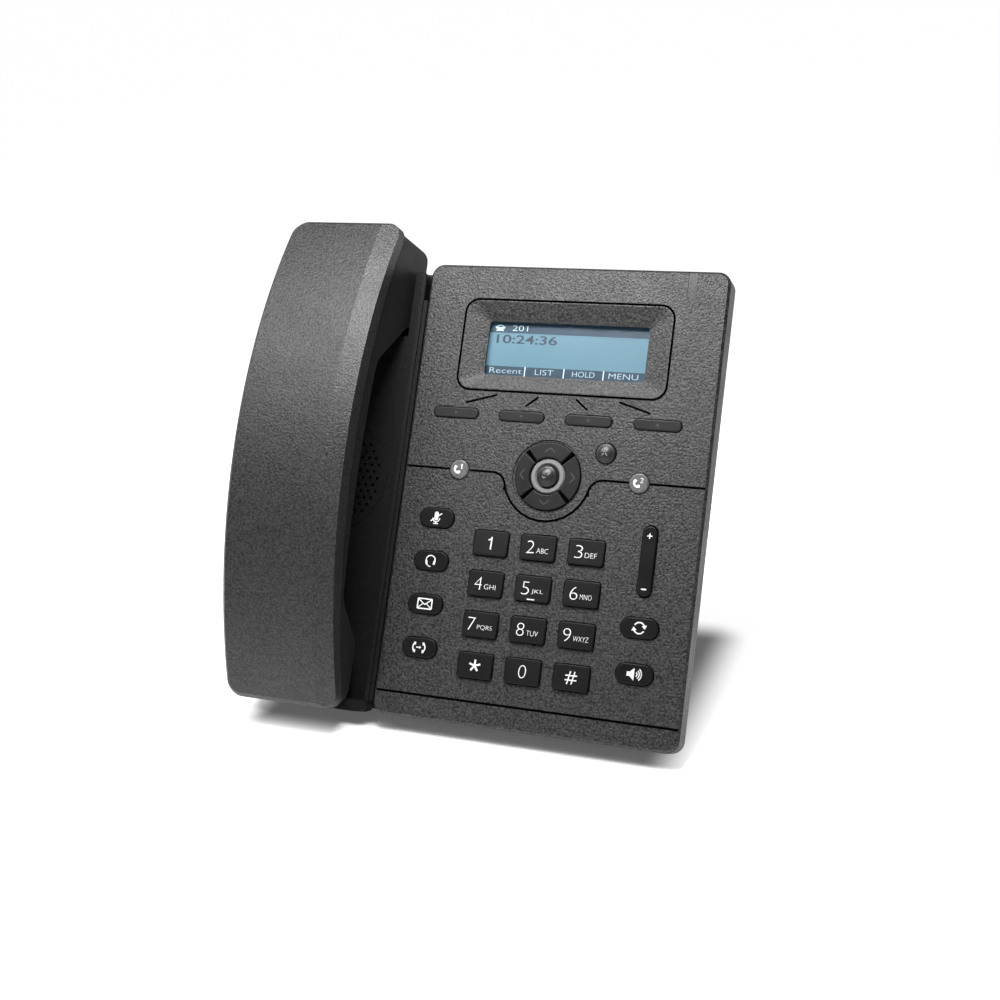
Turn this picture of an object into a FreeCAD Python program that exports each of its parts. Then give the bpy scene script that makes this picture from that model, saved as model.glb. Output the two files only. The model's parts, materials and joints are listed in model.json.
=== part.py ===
import FreeCAD, Part

import math
import os

import Sketcher

# Desk IP phone on its stand.
#
# The base, its keys and the handset are drawn flat in the face frame: X to the right, Y up along the face,
# Z out of the face, with its origin on the face at the middle of key 2. Each sub-part then gets a Placement
# that leans the face back. The stand and its feet are drawn upright, in the same place.

doc = FreeCAD.newDocument("desk_ip_phone")
sheet = doc.addObject("Spreadsheet::Sheet", "Dims")

DIMENSIONS = [
    # Placement of the face frame in the row frame
    ("face_tilt", 60.0, "angle between the face and the table"),
    ("face_x", 27.8, "face frame's origin, to the right of the middle of the phone"),
    ("face_y", -19.94, "face frame's origin, back from the middle of the phone"),
    ("face_height", 67.6, "face frame's origin above the table"),
    ("gap", 0.3, "clearance round a moving piece"),
    # Front panel
    ("panel_left", -58.9, ""),
    ("panel_right", 61.6, ""),
    ("panel_bottom", -69.3, ""),
    ("panel_top", 109.4, ""),
    ("panel_depth", 10.0, "from the face to the edge of the skirt"),
    ("panel_plate", 2.5, "thickness of the face"),
    ("panel_wall", 2.0, "thickness of the skirt"),
    ("panel_corner", 5.0, ""),
    ("panel_bevel", 1.0, ""),
    ("strip_y", -60.3, "groove above the bottom strip"),
    ("groove_width", 0.7, ""),
    ("groove_depth", 0.5, ""),
    # Dial pad
    ("pad_pitch_x", 19.0, ""),
    ("pad_pitch_y", 15.575, ""),
    ("pad_hole_w", 14.6, ""),
    ("pad_hole_l", 10.3, ""),
    ("pad_corner", 1.6, ""),
    # Soft keys
    ("soft_pitch", 26.9, ""),
    ("soft_y", 49.75, ""),
    ("soft_hole_w", 19.0, ""),
    ("soft_hole_l", 4.7, ""),
    # Navigation cluster
    ("nav_y", 27.5, ""),
    ("nav_rim", 14.1, "radius of the shallow rim in the face"),
    ("nav_hole", 13.3, ""),
    ("nav_outer", 13.0, ""),
    ("nav_inner", 7.2, ""),
    ("nav_angle", 41.0, "half of the angle that one navigation key spans"),
    ("collar_outer", 6.8, ""),
    ("collar_inner", 4.5, ""),
    ("ok_radius", 4.2, ""),
    ("swirl_radius", 17.3, "engraved line under the navigation keys"),
    ("swirl_blend", 5.34, "radius that joins the line to the arc"),
    # Round keys
    ("cancel_x", 21.8, ""),
    ("cancel_y", 37.8, ""),
    ("cancel_radius", 3.9, ""),
    ("line_x", 35.85, ""),
    ("line_hole", 4.1, ""),
    # Side columns
    ("side_x", 42.45, ""),
    ("side_y", 7.9, "top key of the left column"),
    ("side_pitch", 16.8, ""),
    ("side_hole_w", 14.9, ""),
    ("side_hole_l", 8.1, ""),
    ("rocker_y", -1.1, ""),
    ("rocker_hole_w", 6.1, ""),
    ("rocker_hole_l", 27.0, ""),
    ("rocker_pivot", 3.55, "depth of the rocker's pivot"),
    # Keys, below the face
    ("flange_top", 2.8, "depth of the top of a key's flange"),
    ("flange_base", 3.8, ""),
    ("flange_reach", 1.0, "how far a flange reaches past its hole"),
    ("stem_depth", 5.3, "depth of the bottom of a key"),
    # Display
    ("display_y", 77.5, ""),
    ("bezel_w", 83.1, ""),
    ("bezel_l", 35.5, ""),
    ("bezel_corner", 5.0, ""),
    ("bezel_gap", 0.5, "open groove round the bezel"),
    ("window_w", 64.6, ""),
    ("window_l", 21.4, ""),
    ("window_y", 76.9, ""),
    ("window_depth", 2.8, ""),
    ("bezel_base", 3.8, ""),
    ("lens_base", 4.8, ""),
    ("lcd_base", 6.4, ""),
    # Message light
    ("light_x", 47.4, ""),
    ("light_w", 3.4, ""),
    ("light_bottom", 98.9, ""),
    ("light_base", 4.0, ""),
    # Boards
    ("membrane_top", 6.6, ""),
    ("board_top", 7.4, ""),
    ("board_base", 9.0, ""),
    # Cradle
    ("cradle_left", -117.2, ""),
    ("cradle_right", -60.9, ""),
    ("cradle_bottom", -70.0, ""),
    ("cradle_top", 108.0, ""),
    ("cradle_floor", 7.0, "depth of the tray"),
    ("cradle_plate", 1.6, "thickness of the tray's floor"),
    ("well_bottom", 81.0, "lower end of the well that the ear cup sinks into"),
    ("well_depth", 21.0, ""),
    ("cradle_wall", 1.6, ""),
    ("ledge_right", -59.3, "narrow ledge beside the panel"),
    ("ledge_depth", 0.7, ""),
    ("ledge_top", 94.5, ""),
    ("grille_x", -92.0, ""),
    ("grille_y", 22.2, ""),
    ("grille_radius", 22.7, ""),
    ("grille_pitch", 3.1, ""),
    ("grille_hole", 0.65, ""),
    # Rear cover
    ("cover_top", 10.2, "depth of the cover's open edge"),
    ("cover_back", 28.0, "depth of the back"),
    ("cover_wall", 2.2, ""),
    ("cover_left", -115.9, ""),
    ("cover_right", 60.0, ""),
    ("cover_low", -67.6, ""),
    ("cover_high", 107.8, ""),
    ("cover_lean", 0.577, "slope of the underside, so that it lies level"),
    ("bay_left", -46.0, ""),
    ("bay_right", 48.0, ""),
    ("bay_bottom", -10.0, ""),
    ("bay_top", 20.0, ""),
    ("bay_floor", 12.6, "depth of the bay's floor"),
    ("screw_x", 51.5, ""),
    ("screw_low", -49.5, ""),
    ("screw_high", 92.5, ""),
    ("boss_radius", 3.3, ""),
    ("screw_radius", 1.3, ""),
    ("head_radius", 2.5, ""),
    # Handset
    ("hand_x", -92.0, ""),
    ("hand_w", 47.0, ""),
    ("hand_inner_w", 45.0, ""),
    ("hand_low", -70.0, ""),
    ("hand_high", 121.5, ""),
    ("hand_mid", 27.5, ""),
    ("hand_crown", 36.6, "height of the back of the handset over the face"),
    ("hand_radius", 208.0, ""),
    ("part_crown", 27.4, "height of the line where its shells meet"),
    ("part_radius", 228.0, ""),
    ("hand_wall", 2.0, ""),
    ("facet_w", 8.0, ""),
    ("facet_drop", 1.8, ""),
    ("ear_face", -19.5, ""),
    ("mouth_face", 0.0, ""),
    ("grip_z", 16.3, "inner side of the grip, at its ends"),
    ("grip_rise", 3.0, "how far the inner side of the grip arches"),
    # Stand
    ("stand_x", -30.0, ""),
    ("stand_w", 120.0, ""),
    ("stand_plate", 2.4, ""),
    ("foot_height", 1.5, ""),
    ("foot_radius", 6.5, ""),
]


def write_sheet():
    row = 1
    for name, value, note in DIMENSIONS:
        sheet.set("A%d" % row, name)
        sheet.set("B%d" % row, str(value))
        sheet.setAlias("B%d" % row, name)
        if note:
            sheet.set("C%d" % row, note)
        row += 1
    doc.recompute()


class Size:
    """A length that knows its value and the sheet expression that gives it."""

    def __init__(self, value, text):
        self.value = value
        self.text = text

    def __add__(self, other):
        other = size(other)
        return Size(self.value + other.value, "(%s + %s)" % (self.text, other.text))

    def __radd__(self, other):
        return size(other) + self

    def __sub__(self, other):
        other = size(other)
        return Size(self.value - other.value, "(%s - %s)" % (self.text, other.text))

    def __rsub__(self, other):
        return size(other) - self

    def __mul__(self, other):
        other = size(other)
        return Size(self.value * other.value, "(%s * %s)" % (self.text, other.text))

    def __rmul__(self, other):
        return size(other) * self

    def __truediv__(self, other):
        other = size(other)
        return Size(self.value / other.value, "(%s / %s)" % (self.text, other.text))

    def __neg__(self):
        return Size(-self.value, "(0 - %s)" % self.text)


def size(number):
    if isinstance(number, Size):
        return number
    return Size(float(number), "(%r)" % float(number))


def dim(name):
    return Size(float(sheet.get(name)), "Dims.%s" % name)


def cosine(angle):
    angle = size(angle)
    return Size(math.cos(math.radians(angle.value)), "cos(%s * 1 deg)" % angle.text)


def sine(angle):
    angle = size(angle)
    return Size(math.sin(math.radians(angle.value)), "sin(%s * 1 deg)" % angle.text)


def root(number):
    number = size(number)
    return Size(math.sqrt(number.value), "sqrt(%s)" % number.text)


# Outlines. An outline is a list of steps: (x, y) is a straight run to that point, and (x, y, centre x,
# centre y, turn) is an arc, turning left (+1) or right (-1). The first step is where it starts.


def rounded(x, y, width, length, corner):
    x0 = x - width / 2
    x1 = x + width / 2
    y0 = y - length / 2
    y1 = y + length / 2
    return [
        (x0 + corner, y0),
        (x1 - corner, y0),
        (x1, y0 + corner, x1 - corner, y0 + corner, 1),
        (x1, y1 - corner),
        (x1 - corner, y1, x1 - corner, y1 - corner, 1),
        (x0 + corner, y1),
        (x0, y1 - corner, x0 + corner, y1 - corner, 1),
        (x0, y0 + corner),
        (x0 + corner, y0, x0 + corner, y0 + corner, 1),
    ]


def box_outline(x0, y0, x1, y1):
    return [(x0, y0), (x1, y0), (x1, y1), (x0, y1)]


def pill(x, y, width, length):
    """A slot with round ends, lying along its longer side."""
    if size(width).value > size(length).value:
        end = length / 2
        reach = width / 2 - end
        return [
            (x - reach, y - end),
            (x + reach, y - end),
            (x + reach, y + end, x + reach, y, 1),
            (x - reach, y + end),
            (x - reach, y - end, x - reach, y, 1),
        ]
    end = width / 2
    reach = length / 2 - end
    return [
        (x + end, y - reach),
        (x + end, y + reach),
        (x - end, y + reach, x, y + reach, 1),
        (x - end, y - reach),
        (x + end, y - reach, x, y - reach, 1),
    ]


def arc_band(x, y, inner, outer, start, end):
    """Part of a ring, between two radii and two angles in degrees."""
    return [
        (x + inner * cosine(start), y + inner * sine(start)),
        (x + outer * cosine(start), y + outer * sine(start)),
        (x + outer * cosine(end), y + outer * sine(end), x, y, 1),
        (x + inner * cosine(end), y + inner * sine(end)),
        (x + inner * cosine(start), y + inner * sine(start), x, y, -1),
    ]


def bar(x0, y0, x1, y1, width):
    """A thin straight bar from one point to another."""
    run = math.hypot(x1 - x0, y1 - y0)
    side_x = (y0 - y1) * width / (2 * run)
    side_y = (x1 - x0) * width / (2 * run)
    return [
        (x0 - side_x, y0 - side_y),
        (x1 - side_x, y1 - side_y),
        (x1 + side_x, y1 + side_y),
        (x0 + side_x, y0 + side_y),
    ]


class Circle:
    def __init__(self, x, y, radius):
        self.x = size(x)
        self.y = size(y)
        self.radius = size(radius)


class Drawing:
    """Collects a sketch's geometry and constraints, then adds them in one go."""

    def __init__(self, sketch):
        self.sketch = sketch
        self.shapes = []
        self.limits = []
        self.bindings = []

    def fix(self, kind, shape, point, value):
        value = size(value)
        self.bindings.append((len(self.limits), value.text))
        self.limits.append(Sketcher.Constraint(kind, -1, 1, shape, point, value.value))

    def circle(self, item):
        centre = FreeCAD.Vector(item.x.value, item.y.value, 0)
        self.shapes.append(Part.Circle(centre, FreeCAD.Vector(0, 0, 1), item.radius.value))
        number = len(self.shapes) - 1
        self.fix("DistanceX", number, 3, item.x)
        self.fix("DistanceY", number, 3, item.y)
        self.bindings.append((len(self.limits), item.radius.text))
        self.limits.append(Sketcher.Constraint("Radius", number, item.radius.value))

    def outline(self, steps):
        ends = []
        points = [(size(step[0]), size(step[1])) for step in steps]
        closed = abs(points[0][0].value - points[-1][0].value) < 1e-9
        closed = closed and abs(points[0][1].value - points[-1][1].value) < 1e-9
        count = len(points) - 1 if closed else len(points)
        for number in range(count):
            here = points[number]
            there = points[(number + 1) % len(points)]
            step = steps[(number + 1) % len(points)] if number + 1 < len(points) else steps[0][:2]
            ends.append(self.run(here, there, step))
        for number in range(count):
            shape, start, _ = ends[number]
            before, _, finish = ends[number - 1]
            self.limits.append(Sketcher.Constraint("Coincident", before, finish, shape, start))
            self.fix("DistanceX", shape, start, points[number][0])
            self.fix("DistanceY", shape, start, points[number][1])

    def run(self, here, there, step):
        """One straight run or arc. Returns its number and which of its points start and end it."""
        start = FreeCAD.Vector(here[0].value, here[1].value, 0)
        end = FreeCAD.Vector(there[0].value, there[1].value, 0)
        number = len(self.shapes)
        if len(step) == 2:
            self.shapes.append(Part.LineSegment(start, end))
            return number, 1, 2
        middle_x = size(step[2])
        middle_y = size(step[3])
        middle = FreeCAD.Vector(middle_x.value, middle_y.value, 0)
        radius = (start - middle).Length
        angles = [math.atan2(point.y - middle.y, point.x - middle.x) for point in (start, end)]
        if step[4] < 0:
            angles.reverse()
        circle = Part.Circle(middle, FreeCAD.Vector(0, 0, 1), radius)
        self.shapes.append(Part.ArcOfCircle(circle, angles[0], angles[1]))
        if abs(end.x - start.x) > abs(end.y - start.y):
            self.fix("DistanceY", number, 3, middle_y)
        else:
            self.fix("DistanceX", number, 3, middle_x)
        if step[4] < 0:
            return number, 2, 1
        return number, 1, 2

    def finish(self):
        self.sketch.addGeometry(self.shapes, False)
        self.sketch.addConstraint(self.limits)
        for number, text in self.bindings:
            self.sketch.setExpression("Constraints[%d]" % number, text)


# Sub-parts


def new_body(name):
    body = doc.addObject("PartDesign::Body", name)
    body.Label = name
    body.AllowCompound = True
    return body


def own_plane(body, role):
    for feature in body.Origin.OriginFeatures:
        if feature.Role == role:
            return feature
    raise ValueError(role)


def draw(body, name, role, level, items):
    sketch = body.newObject("Sketcher::SketchObject", name)
    sketch.AttachmentSupport = [(own_plane(body, role), "")]
    sketch.MapMode = "FlatFace"
    sketch.setExpression("AttachmentOffset.Base.z", size(level).text)
    drawing = Drawing(sketch)
    for item in items:
        if isinstance(item, Circle):
            drawing.circle(item)
        else:
            drawing.outline(item)
    drawing.finish()
    return sketch


def add(body, name, low, high, items, role="XY_Plane", taper=None):
    """Adds material between two levels along the plane's normal."""
    sketch = draw(body, name + "_sketch", role, low, items)
    pad = body.newObject("PartDesign::Pad", name)
    pad.Profile = (sketch, [""])
    pad.setExpression("Length", (size(high) - low).text)
    if taper is not None:
        pad.TaperAngle = taper
    doc.recompute()
    return pad


def cut(body, name, low, high, items, role="XY_Plane"):
    """Takes material away between two levels along the plane's normal."""
    before = body.Tip.Shape.Volume
    sketch = draw(body, name + "_sketch", role, high, items)
    pocket = body.newObject("PartDesign::Pocket", name)
    pocket.Profile = (sketch, [""])
    pocket.setExpression("Length", (size(high) - low).text)
    doc.recompute()
    if pocket.Shape.Volume > before - 1e-3:
        raise RuntimeError("%s of %s takes nothing away" % (name, body.Label))
    return pocket


def edges_where(feature, test):
    names = []
    for number, edge in enumerate(feature.Shape.Edges, start=1):
        if test(edge.BoundBox, edge):
            names.append("Edge%d" % number)
    return names


def soften(body, name, kind, amount, test):
    """Fillets or chamfers the edges that pass a test."""
    base = body.Tip
    names = edges_where(base, test)
    if not names:
        raise RuntimeError("%s of %s finds no edge" % (name, body.Label))
    feature = body.newObject("PartDesign::" + kind, name)
    feature.Base = (base, names)
    prop = "Radius" if kind == "Fillet" else "Size"
    feature.setExpression(prop, size(amount).text)
    doc.recompute()
    return feature


def level_with(value):
    """A test for edges that lie wholly at one height."""
    height = size(value).value

    def test(bounds, _):
        return abs(bounds.ZMin - height) < 1e-4 and abs(bounds.ZMax - height) < 1e-4

    return test


def upright(minimum):
    """A test for straight edges along Z that are longer than this."""

    def test(bounds, _):
        return bounds.XLength < 1e-4 and bounds.YLength < 1e-4 and bounds.ZLength > minimum

    return test


PARTS = []


def lean(body):
    """Places a sub-part that was drawn in the face frame."""
    tilt = dim("face_tilt")
    body.setExpression("Placement.Rotation.Axis.x", "1")
    body.setExpression("Placement.Rotation.Axis.y", "0")
    body.setExpression("Placement.Rotation.Axis.z", "0")
    body.setExpression("Placement.Rotation.Angle", tilt.text)
    stand_up(body)


def stand_up(body):
    """Places a sub-part that was drawn upright."""
    body.setExpression("Placement.Base.x", dim("face_x").text)
    body.setExpression("Placement.Base.y", dim("face_y").text)
    body.setExpression("Placement.Base.z", dim("face_height").text)
    PARTS.append(body)


write_sheet()

GAP = dim("gap")
PLATE = dim("panel_plate")
FLANGE_TOP = dim("flange_top")
FLANGE_BASE = dim("flange_base")
FLANGE_REACH = dim("flange_reach")
STEM = dim("stem_depth")
PANEL_X = (dim("panel_left") + dim("panel_right")) / 2
PANEL_Y = (dim("panel_bottom") + dim("panel_top")) / 2
PANEL_W = dim("panel_right") - dim("panel_left")
PANEL_L = dim("panel_top") - dim("panel_bottom")
NAV_Y = dim("nav_y")
SIDE_X = dim("side_x")
SCREWS = []
for side in (-1, 1):
    for row in ("screw_low", "screw_high"):
        SCREWS.append((side * dim("screw_x"), dim(row)))


def pad_places():
    """The dial pad's keys: name, column and row, with key 2 in column 0, row 0."""
    names = ["1", "2", "3", "4", "5", "6", "7", "8", "9", "star", "0", "hash"]
    places = []
    for number, name in enumerate(names):
        column = number % 3 - 1
        row = number // 3
        places.append(("key_" + name, column * dim("pad_pitch_x"), -row * dim("pad_pitch_y")))
    return places


def soft_places():
    places = []
    for number in range(4):
        places.append(("soft_key_%d" % (number + 1), (number - 1.5) * dim("soft_pitch"), dim("soft_y")))
    return places


def side_places():
    places = []
    for row, name in enumerate(["mute_key", "headset_key", "message_key", "transfer_key"]):
        places.append((name, -SIDE_X, dim("side_y") - row * dim("side_pitch")))
    for row, name in ((2, "redial_key"), (3, "speaker_key")):
        places.append((name, SIDE_X, dim("side_y") - row * dim("side_pitch")))
    return places


def panel_grooves(panel):
    """Shallow engraved lines on the face."""
    depth = dim("groove_depth")
    half = dim("groove_width") / 2
    y = dim("strip_y")
    strip = box_outline(dim("panel_left") - 1, y - half, dim("panel_right") + 1, y + half)
    cut(panel, "strip_groove", -depth, 1, [strip])
    blend = dim("swirl_blend")
    swirl = dim("swirl_radius")
    blend_y = NAV_Y - blend
    blend_x = root((swirl + blend) * (swirl + blend) - blend * blend)
    angle = math.degrees(math.atan2(blend.value, blend_x.value))
    left = box_outline(dim("panel_left") - 1, NAV_Y - half, -blend_x, NAV_Y + half)
    right = box_outline(blend_x, NAV_Y - half, dim("panel_right") + 1, NAV_Y + half)
    cut(panel, "line_groove_sides", -depth, 1, [left, right])
    bends = [
        arc_band(-blend_x, blend_y, blend - half, blend + half, -angle, 90.2),
        arc_band(blend_x, blend_y, blend - half, blend + half, 89.8, 180 + angle),
    ]
    cut(panel, "line_groove_bends", -depth, 1, bends)
    swoop = arc_band(0, NAV_Y, swirl - half, swirl + half, 179.8 + angle, 360.2 - angle)
    cut(panel, "line_groove_swoop", -depth, 1, [swoop])
    inner = ((12.3, 53.9), (7.6, 57.7))
    outer = ((37.0, 54.0), (24.5, 57.7))
    ticks = []
    for (x0, y0), (x1, y1) in (inner, outer):
        ticks.append(bar(-x0, y0, -x1, y1, 0.6))
        ticks.append(bar(x1, y1, x0, y0, 0.6))
    cut(panel, "soft_key_ticks", -depth, 1, ticks)


def front_panel():
    panel = new_body("front_panel")
    depth = dim("panel_depth")
    wall = 2 * dim("panel_wall")
    corner = dim("panel_corner")
    add(panel, "slab", -depth, 0, [rounded(PANEL_X, PANEL_Y, PANEL_W, PANEL_L, corner)])
    soften(panel, "rim_bevel", "Chamfer", dim("panel_bevel"), level_with(0))
    hollow = rounded(PANEL_X, PANEL_Y, PANEL_W - wall, PANEL_L - wall, corner - dim("panel_wall"))
    cut(panel, "hollow", -depth - 1, -PLATE, [hollow])
    bosses = [Circle(x, y, dim("boss_radius")) for x, y in SCREWS]
    add(panel, "bosses", -depth, -PLATE, bosses)
    pilots = [Circle(x, y, dim("screw_radius")) for x, y in SCREWS]
    cut(panel, "screw_pilots", -depth - 1, -PLATE - 2, pilots)
    width = dim("pad_hole_w")
    length = dim("pad_hole_l")
    pad_holes = [rounded(x, y, width, length, dim("pad_corner")) for _, x, y in pad_places()]
    cut(panel, "dial_pad_holes", -PLATE - 1, 1, pad_holes)
    pills = [pill(x, y, dim("side_hole_w"), dim("side_hole_l")) for _, x, y in side_places()]
    pills += [pill(x, y, dim("soft_hole_w"), dim("soft_hole_l")) for _, x, y in soft_places()]
    pills.append(pill(SIDE_X, dim("rocker_y"), dim("rocker_hole_w"), dim("rocker_hole_l")))
    cut(panel, "pill_holes", -PLATE - 1, 1, pills)
    rounds = [
        Circle(0, NAV_Y, dim("nav_hole")),
        Circle(dim("cancel_x"), dim("cancel_y"), dim("cancel_radius") + GAP),
        Circle(-dim("line_x"), NAV_Y, dim("line_hole")),
        Circle(dim("line_x"), NAV_Y, dim("line_hole")),
    ]
    panel_grooves(panel)
    cut(panel, "nav_rim", -dim("groove_depth"), 1, [Circle(0, NAV_Y, dim("nav_rim"))])
    cut(panel, "round_holes", -PLATE - 1, 1, rounds)
    around = 2 * dim("bezel_gap")
    display = rounded(
        0, dim("display_y"), dim("bezel_w") + around, dim("bezel_l") + around,
        dim("bezel_corner") + dim("bezel_gap"),
    )
    cut(panel, "display_hole", -PLATE - 1, 1, [display])
    sound_hole = Circle(30.0, -5.4, 0.5)
    edge = -dim("panel_bottom")
    cut(panel, "microphone_hole", edge - 3, edge + 1, [sound_hole], role="XZ_Plane")
    half = dim("light_w") / 2 + 0.1
    x = dim("light_x")
    low = dim("light_bottom") + half
    high = dim("panel_top") + 1
    slot = [
        (x - half, high),
        (x - half, low),
        (x + half, low, x, low, 1),
        (x + half, high),
    ]
    cut(panel, "light_slot", -dim("light_base") - 0.1, 1, [slot])
    lean(panel)


def display_bezel():
    bezel = new_body("display_bezel")
    y = dim("display_y")
    width = dim("bezel_w")
    length = dim("bezel_l")
    corner = dim("bezel_corner")
    add(bezel, "rim", -dim("bezel_base"), 0, [rounded(0, y, width, length, corner)])
    flange = rounded(0, y, width + 4.4, length + 4.4, corner)
    add(bezel, "flange", -dim("bezel_base"), -PLATE - 0.2, [flange])
    lip = 0.8
    outer = rounded(0, y, width - lip, length - lip, corner - lip / 2)
    inner = rounded(0, dim("window_y"), dim("window_w"), dim("window_l"), 1.2)
    top = draw(bezel, "slope_top", "XY_Plane", 0.01, [outer])
    foot = draw(bezel, "slope_foot", "XY_Plane", -dim("window_depth"), [inner])
    loft = bezel.newObject("PartDesign::SubtractiveLoft", "slope")
    loft.Profile = (top, [""])
    loft.Sections = [(foot, [""])]
    loft.Ruled = True
    doc.recompute()
    cut(bezel, "window", -dim("bezel_base") - 1, -dim("window_depth") + 0.2, [inner])
    lean(bezel)


def plain_plate(name, low, high, items):
    """A part that is one plate, with no holes."""
    plate = new_body(name)
    add(plate, "plate", low, high, items)
    lean(plate)
    return plate


def display_stack():
    y = dim("window_y")
    width = dim("window_w")
    length = dim("window_l")
    lens = rounded(0, y, width + 6, length + 6, 1.0)
    plain_plate("display_lens", -dim("lens_base"), -dim("bezel_base"), [lens])
    glass = rounded(0, y, width + 8, length + 8, 0.6)
    plain_plate("lcd_panel", -dim("lcd_base"), -dim("lens_base") - 0.1, [glass])
    glow = rounded(0, y, width + 8, length + 8, 0.6)
    plain_plate("lcd_backlight", -dim("board_top") + 0.1, -dim("lcd_base") - 0.1, [glow])


def message_light():
    light = new_body("message_light_pipe")
    half = dim("light_w") / 2
    x = dim("light_x")
    low = dim("light_bottom") + half
    high = dim("panel_top")
    outline = [
        (x - half, high),
        (x - half, low),
        (x + half, low, x, low, 1),
        (x + half, high),
    ]
    add(light, "bar", -dim("light_base"), 0, [outline])
    bevel = dim("panel_bevel")

    def outer_edge(bounds, _):
        return abs(bounds.YMin - high.value) < 1e-4 and abs(bounds.ZMin) < 1e-4

    soften(light, "end_bevel", "Chamfer", bevel, outer_edge)
    lean(light)


def boards():
    board = new_body("main_pcb")
    outline = box_outline(-54, -66.5, 54, 98)
    add(board, "board", -dim("board_base"), -dim("board_top"), [outline])
    holes = [Circle(x, y, dim("boss_radius") + 0.4) for x, y in SCREWS]
    cut(board, "screw_holes", -dim("board_base") - 1, 0, holes)
    lean(board)
    mat = new_body("keypad_membrane")
    sheet_outline = rounded(0, 0.3, 95.6, 105.0, 2.0)
    add(mat, "mat", -dim("board_top"), -dim("membrane_top"), [sheet_outline])
    lean(mat)


# Keys


def key_top_edges(bounds, _):
    """Edges round the top of a key, which stands above the face."""
    return bounds.ZMin > -0.6 and bounds.ZMax > 0.1


def dial_pad():
    width = dim("pad_hole_w")
    length = dim("pad_hole_l")
    corner = dim("pad_corner")
    reach = 2 * FLANGE_REACH
    for name, x, y in pad_places():
        key = new_body(name)
        cap = rounded(x, y, width - 2 * GAP, length - 2 * GAP, corner - GAP)
        add(key, "cap", -STEM, 1.5, [cap])
        foot = rounded(x, y, width + reach, length + reach, corner)
        add(key, "flange", -FLANGE_BASE, -FLANGE_TOP, [foot])
        half = length / 2
        slope = [
            (y - half, 1.35),
            (y + half, 0.35),
            (y + half, 3),
            (y - half, 3),
        ]
        cut(key, "slope", x - width, x + width, [slope], role="YZ_Plane")
        soften(key, "round_top", "Fillet", 0.5, key_top_edges)
        lean(key)


def pill_key(name, x, y, width, length, height):
    key = new_body(name)
    add(key, "cap", -STEM, height, [pill(x, y, width - 2 * GAP, length - 2 * GAP)])
    reach = 2 * FLANGE_REACH
    add(key, "flange", -FLANGE_BASE, -FLANGE_TOP, [pill(x, y, width + reach, length + reach)])
    soften(key, "round_top", "Fillet", 0.5, key_top_edges)
    lean(key)


def pill_keys():
    for name, x, y in soft_places():
        pill_key(name, x, y, dim("soft_hole_w"), dim("soft_hole_l"), 0.6)
    for name, x, y in side_places():
        pill_key(name, x, y, dim("side_hole_w"), dim("side_hole_l"), 0.9)


def round_key(name, x, y, radius, flange, height, crown):
    key = new_body(name)
    add(key, "cap", -STEM, height, [Circle(x, y, radius)])
    if flange is not None:
        add(key, "flange", -FLANGE_BASE, -FLANGE_TOP, [Circle(x, y, flange)])
    soften(key, "round_top", "Fillet", crown, key_top_edges)
    lean(key)


def round_keys():
    cancel = dim("cancel_radius")
    round_key("cancel_key", dim("cancel_x"), dim("cancel_y"), cancel, cancel + 1.2, 1.2, 1.1)
    line = dim("line_hole") - GAP
    for number, side in ((1, -1), (2, 1)):
        x = side * dim("line_x")
        round_key("line_key_%d" % number, x, NAV_Y, line, line + 1.2, 0.8, 0.7)
    round_key("ok_key", 0, NAV_Y, dim("ok_radius"), None, 1.4, 1.3)


def navigation():
    collar = new_body("nav_collar")
    add(collar, "tube", -dim("membrane_top"), 0, [Circle(0, NAV_Y, dim("collar_outer"))])
    inner = Circle(0, NAV_Y, dim("collar_inner"))
    cut(collar, "bore", -dim("membrane_top") - 1, 1, [inner])
    soften(collar, "lip", "Chamfer", 0.6, level_with(0))
    lean(collar)
    spread = dim("nav_angle")
    for name, middle in (("right", 0), ("up", 90), ("left", 180), ("down", 270)):
        key = new_body("nav_" + name)
        start = middle - spread
        end = middle + spread
        sector = arc_band(0, NAV_Y, dim("nav_inner"), dim("nav_outer"), start, end)
        add(key, "cap", -STEM, 0.5, [sector])
        foot = arc_band(0, NAV_Y, dim("nav_inner"), dim("nav_hole") + 1, start, end)
        add(key, "flange", -FLANGE_BASE, -FLANGE_TOP, [foot])
        soften(key, "round_top", "Fillet", 0.4, key_top_edges)
        lean(key)


def volume_rocker():
    rocker = new_body("volume_rocker")
    y = dim("rocker_y")
    width = dim("rocker_hole_w") - 2 * GAP
    length = dim("rocker_hole_l") - 3 * GAP
    add(rocker, "cap", -4.3, 1.1, [pill(SIDE_X, y, width, length)])
    reach = width / 2 + 2.2
    stub = Circle(y, -dim("rocker_pivot"), 0.8)
    add(rocker, "pivots", SIDE_X - reach, SIDE_X + reach, [stub], role="YZ_Plane")
    soften(rocker, "round_top", "Fillet", 0.6, key_top_edges)
    lean(rocker)


# Base

COVER_TOP = dim("cover_top")
COVER_BACK = dim("cover_back")
COVER_WALL = dim("cover_wall")
PORT_FACE = dim("bay_top")
RJ45_X = [1.0, 20.0]
RJ9_X = [-36.0, -20.0]
DC_X = 38.5
HOOKS_X = [-65.0, 5.0]
HOOK_Y = 62.0


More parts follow.
